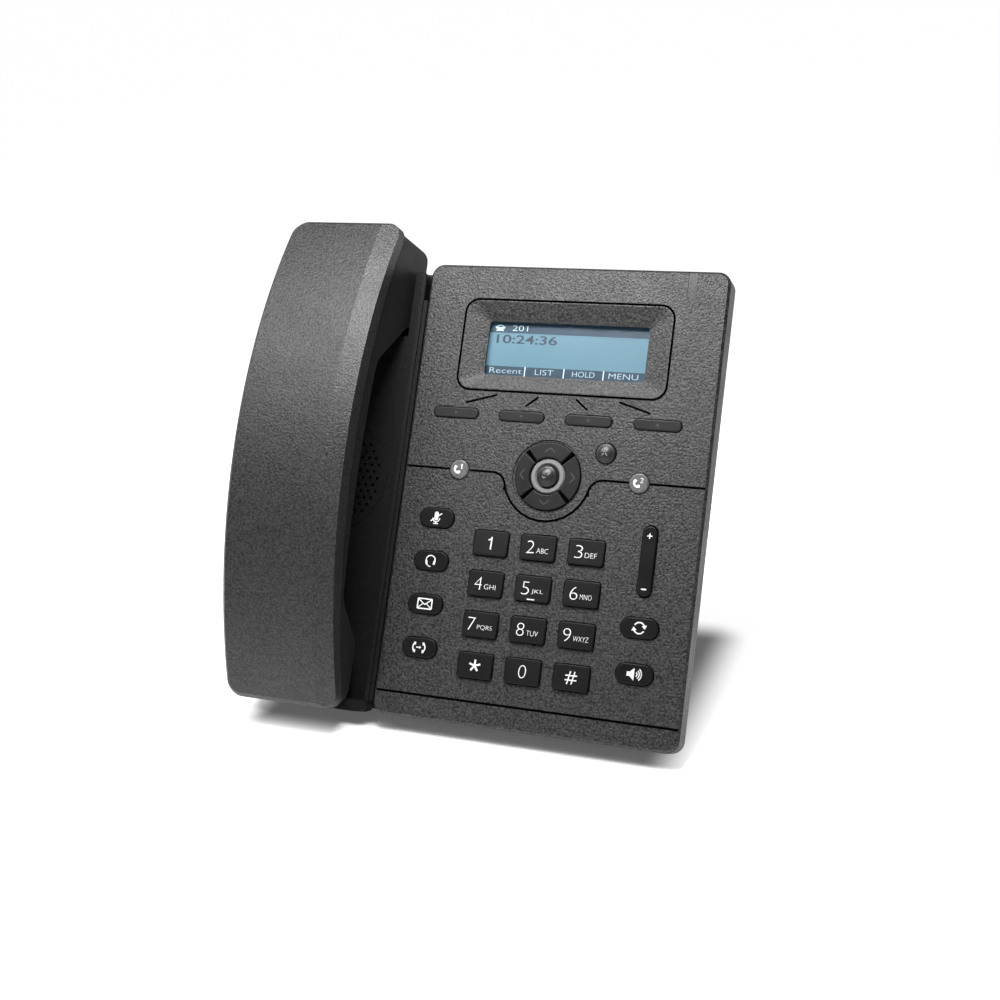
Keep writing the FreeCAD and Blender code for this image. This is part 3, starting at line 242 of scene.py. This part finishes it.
def plated_metal(name, tone, rough):
    made, tree, shader = material(name)
    haze = noise(tree, 500.0, 4.0, 0.7)
    dark = tuple(channel * 0.85 for channel in tone)
    tree.links.new(two_tone(tree, haze, dark, tone), shader.inputs["Base Color"])
    tree.links.new(spread(tree, haze, 0.3, 0.7, rough * 0.8, rough * 1.3), shader.inputs["Roughness"])
    shader.inputs["Metallic"].default_value = 1.0
    bump(tree, shader, haze, 0.1, 0.02 * MM)
    return made


def floor_paper():
    """White paper that glows by itself, except close to the phone's footprint, where its glow is turned down to
    paint a shadow.
    """
    made, tree, shader = material("floor_paper")
    fibre = noise(tree, 900.0, 3.0)
    tree.links.new(two_tone(tree, fibre, (0.88, 0.88, 0.885), (0.9, 0.9, 0.905)), shader.inputs["Base Color"])
    steps = [("ABSOLUTE", None), ("SUBTRACT", SHADOW_FOOTPRINT), ("MAXIMUM", (0, 0, 0)), ("LENGTH", None)]
    value = texture_space(tree)
    for operation, operand in steps:
        step = tree.nodes.new("ShaderNodeVectorMath")
        step.operation = operation
        if operand:
            step.inputs[1].default_value = operand
        tree.links.new(value, step.inputs[0])
        value = step.outputs["Value" if operation == "LENGTH" else "Vector"]
    # Painted shadow: the glow is low on the footprint and rises over SHADOW_FADE.
    glow = tree.nodes.new("ShaderNodeMapRange")
    glow.interpolation_type = "SMOOTHSTEP"
    glow.inputs["From Min"].default_value = 0.0
    glow.inputs["From Max"].default_value = SHADOW_FADE
    glow.inputs["To Min"].default_value = 0.1
    glow.inputs["To Max"].default_value = 0.95
    tree.links.new(value, glow.inputs["Value"])
    shader.inputs["Emission Color"].default_value = (1, 1, 1, 1)
    tree.links.new(glow.outputs["Result"], shader.inputs["Emission Strength"])
    shader.inputs["Roughness"].default_value = 0.85
    shader.inputs["Specular IOR Level"].default_value = 0.1
    return made


FINISHES = {
    "case_plastic": grained_plastic("case_plastic", (0.021, 0.0211, 0.0212), 0.85, 0.7, 0.48, mottle=0.95),
    "outer_plastic": grained_plastic("outer_plastic", (0.022, 0.0221, 0.0222), 0.85, 0.45, 0.44, mottle=0.6),
    # Black plastic whose tone is set below the outer shell's as painted shade for the handset's shaded inner side.
    "inner_plastic_painted_shade": grained_plastic("inner_plastic_painted_shade", (0.016, 0.0161, 0.0162), 0.8, 0.25, 0.55, 0.15, 0.3),
    # Black plastic whose tone is set well below the case's as painted shade for the recess under the handset.
    "cradle_plastic": grained_plastic("cradle_plastic", (0.0075, 0.0076, 0.0077), 0.8, 0.25, 0.58, 0.12, 0.3),
    "key_plastic": smooth_plastic("key_plastic", (0.0078, 0.0078, 0.0079), 0.38, 0.12),
    "light_key": smooth_plastic("light_key", (0.0125, 0.0125, 0.0126), 0.38, 0.18),
    "gloss_key": smooth_plastic("gloss_key", (0.013, 0.013, 0.0134), 0.4, 0.42, 0.05),
    "translucent": translucent_plastic("translucent", 0.095, 0.35),
    "light_pipe": translucent_plastic("light_pipe", 0.028, 0.2),
    "collar_plastic": smooth_plastic("collar_plastic", (0.16, 0.16, 0.165), 0.3),
    "lens_clear": clear_lens(),
    "lcd_glass": lit_display("lcd_glass", (0.066, 0.15, 0.198), (0.078, 0.165, 0.216), 0.85),
    "backlight_white": smooth_plastic("backlight_white", (0.8, 0.82, 0.83), 0.4),
    "board_green": board_mask(),
    "silicone_grey": grained_plastic("silicone_grey", (0.3, 0.31, 0.33), 0.6, 0.05, 0.7),
    "rubber_black": grained_plastic("rubber_black", (0.018, 0.018, 0.018), 0.5, 0.1, 0.8, 0.2),
    "steel_screw": plated_metal("steel_screw", (0.55, 0.55, 0.57), 0.3),
    "port_black": smooth_plastic("port_black", (0.012, 0.012, 0.012), 0.35),
    "speaker_metal": grained_plastic("speaker_metal", (0.05, 0.05, 0.053), 0.4, 0.05, 0.45),
}
OWN_FINISHES = {
    "handset_outer_shell": "outer_plastic",
    "handset_inner_shell": "inner_plastic_painted_shade",
    "message_light_pipe": "light_pipe",
}
for key in ("soft_key_1", "soft_key_2", "soft_key_3", "soft_key_4", "nav_up", "nav_down", "nav_left", "nav_right"):
    OWN_FINISHES[key] = "light_key"
WHITE_INK = ink("white_ink", (0.7, 0.71, 0.72))
GREY_INK = ink("grey_ink", (0.16, 0.16, 0.165))
DARK_INK = ink("dark_ink", (0.012, 0.012, 0.013))
# Black with no gloss, laid over the engraved lines and the display frame's gap as painted shade.
PAINTED_SHADE_INK = ink("painted_shade_ink", (0.001, 0.001, 0.001), 0.9, 0.0)
DISPLAY_DARK = lit_display("display_dark", (0.013, 0.04, 0.07), (0.016, 0.046, 0.08), 0.35)
DISPLAY_WHITE = lit_display("display_white", (0.36, 0.5, 0.56), (0.4, 0.55, 0.62), 0.4)
DISPLAY_TEXT = lit_display("display_text", (0.012, 0.035, 0.06), (0.018, 0.04, 0.07), 0.05)
GOLD = plated_metal("gold_contact", (0.85, 0.6, 0.22), 0.2)


def finish_nodes():
    """Gives each CAD node a finish of its own, or the one that its record slot names."""
    slots = {part["node"]: part["material_slot"] for part in frame["record"]["subparts"]}
    for name, node in frame["nodes"].items():
        finish = OWN_FINISHES.get(name, slots[name])
        node.data.materials.clear()
        node.data.materials.append(FINISHES[finish])


# Printed marks. A Print gathers flat shapes, in millimetres about its own middle, and becomes one thin piece.


class Print:
    def __init__(self):
        self.mesh = bmesh.new()
        self.layers = 0

    def thickness(self):
        """Each shape is a hair thicker than the last, so that no two overlap in one plane."""
        self.layers += 1
        return PRINT_THICKNESS + 0.002 * self.layers

    def shape(self, points):
        """A filled outline, anticlockwise."""
        corners = [self.mesh.verts.new((x, y, 0)) for x, y in points]
        face = self.mesh.faces.new(corners)
        raised = bmesh.ops.extrude_face_region(self.mesh, geom=[face])
        tops = [item for item in raised["geom"] if isinstance(item, bmesh.types.BMVert)]
        bmesh.ops.translate(self.mesh, verts=tops, vec=(0, 0, self.thickness()))

    def box(self, x0, y0, x1, y1):
        self.shape([(x0, y0), (x1, y0), (x1, y1), (x0, y1)])

    def stroke(self, points, width):
        """A line of one width through these points, as one box for each run."""
        for (x0, y0), (x1, y1) in zip(points, points[1:]):
            run = math.hypot(x1 - x0, y1 - y0)
            side_x = (y1 - y0) / run * width / 2
            side_y = (x0 - x1) / run * width / 2
            self.shape([
                (x0 + side_x, y0 + side_y),
                (x1 + side_x, y1 + side_y),
                (x1 - side_x, y1 - side_y),
                (x0 - side_x, y0 - side_y),
            ])

    def disc(self, x, y, radius):
        self.shape(arc_points(x, y, radius, 0, 360)[:-1])

    def arc(self, x, y, radius, width, start, end):
        """Part of a ring, from one angle to another in degrees."""
        outer = arc_points(x, y, radius + width / 2, start, end)
        inner = arc_points(x, y, radius - width / 2, start, end)
        for number in range(len(outer) - 1):
            self.shape([inner[number], outer[number], outer[number + 1], inner[number + 1]])

    def text(self, words, left, low, width, height, weight=-0.012):
        """Words stretched to fill a box. weight thickens or thins their strokes."""
        curve = bpy.data.curves.new("words", "FONT")
        curve.body = words
        curve.extrude = 0.5
        curve.offset = weight
        curve.resolution_u = 4
        source = bpy.data.objects.new("words", curve)
        letters = bpy.data.meshes.new_from_object(source)
        xs = [vertex.co.x for vertex in letters.vertices]
        ys = [vertex.co.y for vertex in letters.vertices]
        scale_x = width / (max(xs) - min(xs))
        scale_y = height / (max(ys) - min(ys))
        depth = self.thickness()
        for vertex in letters.vertices:
            vertex.co.x = left + (vertex.co.x - min(xs)) * scale_x
            vertex.co.y = low + (vertex.co.y - min(ys)) * scale_y
            vertex.co.z = (vertex.co.z + 0.5) * depth
        self.mesh.from_mesh(letters)
        bpy.data.objects.remove(source)
        bpy.data.meshes.remove(letters)

    def piece(self, name, body, place, finish):
        """Makes the piece. place turns its millimetres into the face frame's."""
        data = bpy.data.meshes.new(name)
        bmesh.ops.transform(self.mesh, matrix=FACE @ Matrix.Scale(MM, 4) @ place, verts=self.mesh.verts)
        bmesh.ops.recalc_face_normals(self.mesh, faces=self.mesh.faces)
        self.mesh.to_mesh(data)
        self.mesh.free()
        data.materials.append(finish)
        made = bpy.data.objects.new(name, data)
        bpy.context.scene.collection.objects.link(made)
        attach(made, body)
        return made


def arc_points(x, y, radius, start, end):
    steps = max(3, round(abs(end - start) / 12))
    angles = [math.radians(start + (end - start) * step / steps) for step in range(steps + 1)]
    return [(x + radius * math.cos(angle), y + radius * math.sin(angle)) for angle in angles]


def on_face(x, y, z, turn=0.0):
    """The place of a print whose middle is here, turned about the face's X axis."""
    return Matrix.Translation((x, y, z + PRINT_LIFT)) @ Matrix.Rotation(turn, 4, "X")


# Legends

DIGIT_HEIGHT = 4.9


def dial_legends():
    letters = ["", "ABC", "DEF", "GHI", "JKL", "MNO", "PQRS", "TUV", "WXYZ"]
    names = ["1", "2", "3", "4", "5", "6", "7", "8", "9", "star", "0", "hash"]
    low = -DIGIT_HEIGHT / 2
    for number, name in enumerate(names):
        legend = Print()
        if name == "1":
            legend.stroke([(0.3, low), (0.3, -low)], 0.5)
            legend.shape([(0.25, 1.95), (-0.95, 1.35), (-0.95, 0.95), (0.25, 1.35)])
        elif name == "star":
            for angle in (90, 162, 234, 306, 18):
                tip = (2.3 * math.cos(math.radians(angle)), 2.3 * math.sin(math.radians(angle)))
                legend.stroke([(0, 0), tip], 0.7)
        elif name == "0":
            legend.text("0", -1.5, low, 3.0, DIGIT_HEIGHT, -0.025)
        elif name == "hash":
            for side in (-0.85, 0.85):
                legend.stroke([(side - 0.45, -2.4), (side + 0.45, 2.4)], 0.45)
                legend.stroke([(-2.2, side), (2.3, side)], 0.45)
        else:
            words = letters[number]
            narrow = len(words) == 4
            left = -5.0 if narrow else -4.3
            legend.text(name, left, low, 3.0, DIGIT_HEIGHT, -0.025)
            legend.text(words, left + 4.0, low + 0.35, 6.0 if narrow else 4.6, 1.9, -0.018)
        if name == "5":
            legend.box(-1.6, -4.35, 1.4, -3.95)
        x = (number % 3 - 1) * PAD_PITCH_X
        y = -(number // 3) * PAD_PITCH_Y
        place = on_face(x, y, KEY_TOP, -KEY_SLOPE)
        legend.piece("legend_" + name, "key_" + name, place, WHITE_INK)


def handset_mark(legend, x, y, size, angle):
    """A telephone handset seen from the side: a curved grip and two cups."""
    start = angle - 60
    end = angle + 60
    legend.arc(x, y, size, size * 0.42, start, end)
    for edge in (start, end):
        middle = arc_points(x, y, size * 0.92, edge, edge)[0]
        along = math.radians(edge)
        out = (math.cos(along) * size * 0.42, math.sin(along) * size * 0.42)
        legend.stroke(
            [(middle[0] - out[0], middle[1] - out[1]), (middle[0] + out[0] * 0.5, middle[1] + out[1] * 0.5)],
            size * 0.62,
        )


def mute_mark(legend):
    """A microphone with a bar across it."""
    legend.box(-0.8, -0.3, 0.8, 1.5)
    legend.disc(0, 1.5, 0.8)
    legend.disc(0, -0.3, 0.8)
    legend.arc(0, -0.2, 1.45, 0.32, 180, 360)
    legend.stroke([(0, -1.6), (0, -2.3)], 0.35)
    legend.stroke([(-1.0, -2.35), (1.0, -2.35)], 0.35)
    legend.stroke([(-2.2, -1.5), (2.2, 1.7)], 0.4)


def headset_mark(legend):
    legend.arc(0, 0.1, 1.85, 0.42, -35, 215)
    legend.stroke([(-1.75, 0.0), (-1.45, -1.5)], 0.85)
    legend.stroke([(1.75, 0.0), (1.45, -1.5)], 0.85)
    legend.stroke([(-1.5, -1.6), (-0.5, -2.3), (0.3, -2.3)], 0.35)


def envelope_mark(legend):
    corners = [(-2.9, -1.9), (2.9, -1.9), (2.9, 1.9), (-2.9, 1.9), (-2.9, -1.9)]
    legend.stroke(corners, 0.5)
    legend.stroke([(-2.7, 1.7), (0, -0.3), (2.7, 1.7)], 0.4)
    legend.stroke([(-2.7, -1.7), (-0.7, 0.1)], 0.35)
    legend.stroke([(2.7, -1.7), (0.7, 0.1)], 0.35)


def transfer_mark(legend):
    """Two handsets with an arrow from one to the other."""
    for side, middle in ((-1, 180), (1, 0)):
        legend.arc(side * 0.2, 0, 2.3, 0.5, middle - 42, middle + 42)
        for end in (-1.45, 1.45):
            legend.stroke([(side * 1.75, end - 0.55), (side * 1.75, end + 0.55)], 0.75)
    legend.stroke([(-1.1, 0), (0.5, 0)], 0.4)
    legend.shape([(0.2, -0.6), (1.0, 0), (0.2, 0.6)])


def redial_mark(legend):
    """Two arrows that chase each other round a circle."""
    for turn in (0, 180):
        legend.arc(0, 0, 2.05, 0.5, turn + 20, turn + 150)
        tip = math.radians(turn + 20)
        x = 2.05 * math.cos(tip)
        y = 2.05 * math.sin(tip)
        sign = 1 if turn == 0 else -1
        corners = ((-1.0, 0.1), (0.2, -1.1), (0.9, 0.5))
        legend.shape([(x + across * sign, y + up * sign) for across, up in corners])


def speaker_mark(legend):
    legend.box(-2.7, -0.8, -1.4, 0.8)
    legend.shape([(-1.6, -0.8), (0.1, -2.3), (0.1, 2.3), (-1.6, 0.8)])
    for radius in (1.1, 1.95, 2.75):
        legend.arc(0.1, 0, radius, 0.38, -48, 48)


def side_legends():
    marks = [
        ("mute_key", -1, 0, mute_mark),
        ("headset_key", -1, 1, headset_mark),
        ("message_key", -1, 2, envelope_mark),
        ("transfer_key", -1, 3, transfer_mark),
        ("redial_key", 1, 2, redial_mark),
        ("speaker_key", 1, 3, speaker_mark),
    ]
    for name, side, row, mark in marks:
        legend = Print()
        mark(legend)
        place = on_face(side * SIDE_X, SIDE_Y - row * SIDE_PITCH, SIDE_KEY_TOP)
        legend.piece("legend_" + name, name, place, WHITE_INK)


def other_legends():
    rocker = Print()
    rocker.stroke([(-1.0, 9.3), (1.0, 9.3)], 0.4)
    rocker.stroke([(0, 8.3), (0, 10.3)], 0.4)
    rocker.stroke([(-1.0, -10.4), (1.0, -10.4)], 0.5)
    place = on_face(SIDE_X, ROCKER_Y, ROCKER_TOP)
    rocker.piece("legend_volume", "volume_rocker", place, WHITE_INK)
    for number, side in ((1, -1), (2, 1)):
        legend = Print()
        handset_mark(legend, -0.1, 0.2, 1.7, 215)
        if number == 1:
            legend.stroke([(1.1, 0.1), (1.1, 2.0)], 0.4)
            legend.stroke([(1.1, 1.8), (0.6, 1.4)], 0.3)
        else:
            legend.text("2", 0.5, 0.1, 1.2, 1.9)
        place = on_face(side * LINE_X, NAV_Y, LINE_KEY_TOP)
        legend.piece("legend_line_%d" % number, "line_key_%d" % number, place, WHITE_INK)
    cancel = Print()
    cancel.stroke([(-1.1, -1.1), (1.1, 1.1)], 0.3)
    cancel.stroke([(-1.1, 1.1), (1.1, -1.1)], 0.3)
    place = on_face(CANCEL_X, CANCEL_Y, CANCEL_CROWN_TOP)
    cancel.piece("legend_cancel", "cancel_key", place, GREY_INK)
    dome("cancel_crown", "cancel_key", CANCEL_X, CANCEL_Y, rim=3.85, low=0.3, radius=5.0)
    tick = Print()
    tick.stroke([(-1.5, -0.5), (-0.6, -1.1), (1.6, 1.0)], 0.32)
    tick.piece("legend_ok", "ok_key", on_face(0, NAV_Y, OK_CROWN_TOP), GREY_INK)
    dome("ok_crown", "ok_key", 0, NAV_Y, rim=4.15, low=0.35, radius=5.4)
    for number in range(4):
        dot = Print()
        dot.disc(0, 0, 0.55)
        place = on_face((number - 1.5) * SOFT_PITCH, SOFT_Y, SOFT_KEY_TOP)
        name = "soft_key_%d" % (number + 1)
        dot.piece("mark_" + name, name, place, DARK_INK)


def chevrons():
    radius = 10.0
    for number, name in enumerate(("right", "up", "left", "down")):
        chevron = Print()
        chevron.stroke([(-0.8, 2.0), (0.9, 0), (-0.8, -2.0)], 0.5)
        turn = math.radians(90 * number)
        place = on_face(radius * math.cos(turn), NAV_Y + radius * math.sin(turn), NAV_KEY_TOP)
        place = place @ Matrix.Rotation(turn, 4, "Z")
        chevron.piece("mark_nav_" + name, "nav_" + name, place, DARK_INK)


def painted_groove_shade():
    """Painted shade: black laid in the face's engraved lines, a little wider than the grooves it fills, to stand
    for the shade inside them.
    """
    lines = Print()
    lines.stroke([(GROOVE_LEFT, STRIP_Y), (GROOVE_RIGHT, STRIP_Y)], PAINTED_SHADE_WIDTH)
    for start, end in ((GROOVE_LEFT, -40.1), (-31.6, -22.0), (22.0, 31.6), (40.1, GROOVE_RIGHT)):
        lines.stroke([(start, NAV_Y), (end, NAV_Y)], PAINTED_SHADE_WIDTH)
    angle = math.degrees(math.atan2(SWIRL_CORNER, SWIRL_X))
    lines.arc(-SWIRL_X, NAV_Y - SWIRL_CORNER, SWIRL_CORNER, PAINTED_SHADE_WIDTH, -angle, 90)
    lines.arc(SWIRL_X, NAV_Y - SWIRL_CORNER, SWIRL_CORNER, PAINTED_SHADE_WIDTH, 90, 180 + angle)
    lines.arc(0, NAV_Y, SWIRL_RADIUS, PAINTED_SHADE_WIDTH, 180 + angle, 360 - angle)
    for side in (-1, 1):
        lines.stroke([(side * 12.3, 53.9), (side * 7.6, 57.7)], 0.75)
        lines.stroke([(side * 37.0, 54.0), (side * 24.5, 57.7)], 0.75)
    lines.piece("painted_groove_shade", "base", on_face(0, 0, 0), PAINTED_SHADE_INK)


def painted_bezel_shade():
    """Painted shade: a black ring over the gap round the display's frame, to stand for the shade in the gap."""
    outline = Print()
    half_w = BEZEL_W / 2 + PAINTED_SHADE_WIDTH / 2
    half_l = BEZEL_L / 2 + PAINTED_SHADE_WIDTH / 2
    corner = BEZEL_CORNER + PAINTED_SHADE_WIDTH / 2
    across = half_w - corner
    along = half_l - corner
    for side in (-1, 1):
        outline.stroke([(-across, side * half_l), (across, side * half_l)], PAINTED_SHADE_WIDTH)
        outline.stroke([(side * half_w, -along), (side * half_w, along)], PAINTED_SHADE_WIDTH)
    for quarter, x, y in ((0, across, along), (90, -across, along), (180, -across, -along), (270, across, -along)):
        outline.arc(x, y, corner, PAINTED_SHADE_WIDTH, quarter, quarter + 90)
    outline.piece("painted_bezel_shade", "base", on_face(0, BEZEL_Y, 0), PAINTED_SHADE_INK)


def dome(name, body, x, y, rim, low, radius):
    """The polished crown of a round key: part of a sphere whose edge sits on the key's rounding."""
    shape = bmesh.new()
    centre = low - math.sqrt(radius * radius - rim * rim)
    rings = 10
    steps = 48
    for ring in range(rings):
        reach = rim * (1 - ring / rings)
        height = centre + math.sqrt(radius * radius - reach * reach)
        for step in range(steps):
            turn = 2 * math.pi * step / steps
            shape.verts.new((x + reach * math.cos(turn), y + reach * math.sin(turn), height))
    top = shape.verts.new((x, y, centre + radius))
    foot = shape.verts.new((x, y, low))
    shape.verts.ensure_lookup_table()
    for step in range(steps):
        after = (step + 1) % steps
        for ring in range(rings - 1):
            start = ring * steps
            corners = (start + step, start + after, start + steps + after, start + steps + step)
            shape.faces.new([shape.verts[corner] for corner in corners])
        last = (rings - 1) * steps
        shape.faces.new([shape.verts[last + step], shape.verts[last + after], top])
        shape.faces.new([shape.verts[after], shape.verts[step], foot])
    bmesh.ops.recalc_face_normals(shape, faces=shape.faces)
    for face in shape.faces:
        face.smooth = face.calc_center_median().z > low + 1e-4
    bmesh.ops.transform(shape, matrix=FACE @ Matrix.Scale(MM, 4), verts=shape.verts)
    data = bpy.data.meshes.new(name)
    shape.to_mesh(data)
    shape.free()
    data.materials.append(FINISHES["gloss_key"])
    made = bpy.data.objects.new(name, data)
    bpy.context.scene.collection.objects.link(made)
    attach(made, body)


# Display

GLASS_TOP = -4.9
WINDOW_W = 64.6
WINDOW_L = 21.4
WINDOW_Y = 76.9
BAR_L = 3.9


def display_content():
    half_w = WINDOW_W / 2 + 1
    half_l = WINDOW_L / 2 + 1
    place = on_face(0, WINDOW_Y, GLASS_TOP)
    bars = Print()
    bars.box(-half_w, half_l - BAR_L - 1, half_w, half_l)
    column = (WINDOW_W - 1.0) / 4
    left = -WINDOW_W / 2 + 0.5
    bars.box(left - 1.5, -half_l + 1.2, half_w - 1, -half_l + 1.2 + BAR_L)
    bars.piece("display_bars", "base", place, DISPLAY_DARK)
    above = on_face(0, WINDOW_Y, GLASS_TOP + 0.045)
    words = Print()
    labels = ["Recent", "LIST", "HOLD", "MENU"]
    widths = [13.4, 7.5, 9.0, 11.6]
    for number, label in enumerate(labels):
        middle = left + (number + 0.5) * column - 0.35
        words.text(label, middle - widths[number] / 2, -half_l + 2.3, widths[number], 2.1)
    words.text("201", -23.5, half_l - 4.0, 6.4, 2.2)
    words.shape([(-30.2, half_l - 4.2), (-27.0, half_l - 4.2), (-27.7, half_l - 2.7), (-29.5, half_l - 2.7)])
    words.arc(-28.6, half_l - 3.5, 1.6, 0.35, 30, 150)
    for side in (-1, 1):
        words.disc(-28.6 + 1.55 * side, half_l - 2.85, 0.45)
    for number in (1, 2, 3):
        edge = left + number * column - 0.35
        words.box(edge - 0.22, -half_l + 1.1, edge + 0.22, -half_l + 5.2)
    words.piece("display_words", "base", above, DISPLAY_WHITE)
    clock = Print()
    clock.text("10:24:36", -29.6, 2.6, 25.0, 3.5, 0.012)
    clock.piece("display_clock", "base", place, DISPLAY_TEXT)


# Socket contacts


def contacts(name, middles, count, pitch, top, body):
    """Rows of sprung gold wires that slope down into the plug's space."""
    wires = Print()
    for middle in middles:
        for number in range(count):
            x = middle + (number - (count - 1) / 2) * pitch
            wires.box(x - 0.2, 0, x + 0.2, 7.5)
    slope = math.radians(-14)
    place = Matrix.Translation((0, 22.5, top)) @ Matrix.Rotation(slope, 4, "X")
    wires.piece(name, body, place, GOLD)


# Stage


def studio():
    floor_mesh = bpy.data.meshes.new("floor")
    shape = bmesh.new()
    bmesh.ops.create_grid(shape, x_segments=1, y_segments=1, size=20)
    shape.to_mesh(floor_mesh)
    shape.free()
    floor_mesh.materials.append(floor_paper())
    floor = bpy.data.objects.new("floor", floor_mesh)
    bpy.context.scene.collection.objects.link(floor)
    sky()
    softbox("key_light", (-0.25, -0.18, 0.5), (0.0, 0.0, 0.14), 0.24, 1.7)
    softbox("top_light", (0.0, -0.07, 0.38), (0.01, 0.0, 0.14), 0.16, 2.0)
    bpy.context.scene.view_settings.view_transform = "Standard"


def sky():
    """A studio that is bright overhead and dim towards the horizon."""
    world = bpy.data.worlds.new("studio")
    world.use_nodes = True
    tree = world.node_tree
    height = tree.nodes.new("ShaderNodeSeparateXYZ")
    tree.links.new(tree.nodes.new("ShaderNodeTexCoord").outputs["Generated"], height.inputs["Vector"])
    ramp = tree.nodes.new("ShaderNodeMapRange")
    ramp.interpolation_type = "SMOOTHSTEP"
    ramp.inputs["From Min"].default_value = 0.45
    ramp.inputs["From Max"].default_value = 1.0
    ramp.inputs["To Min"].default_value = 0.08
    ramp.inputs["To Max"].default_value = 2.2
    tree.links.new(height.outputs["Z"], ramp.inputs["Value"])
    tree.links.new(ramp.outputs["Result"], tree.nodes["Background"].inputs["Strength"])
    bpy.context.scene.world = world


def softbox(name, place, aim, size, power):
    data = bpy.data.lights.new(name, "AREA")
    data.shape = "SQUARE"
    data.size = size
    data.energy = power
    light = bpy.data.objects.new(name, data)
    light.location = place
    light.rotation_euler = (Vector(aim) - Vector(place)).to_track_quat("-Z", "Y").to_euler()
    bpy.context.scene.collection.objects.link(light)


def camera():
    """The camera's place and turn are in the face frame."""
    data = bpy.data.cameras.new("camera")
    data.lens = FOCAL_LENGTH
    data.sensor_width = 36.0
    data.clip_start = 0.01
    eye = bpy.data.objects.new("camera", data)
    place = Vector(CAMERA_PLACE) * MM
    turn = Euler([math.radians(angle) for angle in CAMERA_TURN])
    eye.matrix_world = FACE @ Matrix.Translation(place) @ turn.to_matrix().to_4x4()
    bpy.context.scene.collection.objects.link(eye)
    bpy.context.scene.camera = eye


camera()
finish_nodes()
dial_legends()
side_legends()
other_legends()
chevrons()
painted_groove_shade()
painted_bezel_shade()
display_content()
contacts("network_contacts", (1.0, 20.0), 8, 1.02, -13.3, "base")
contacts("cord_contacts", (-36.0, -20.0), 4, 1.02, -12.3, "base")
studio()
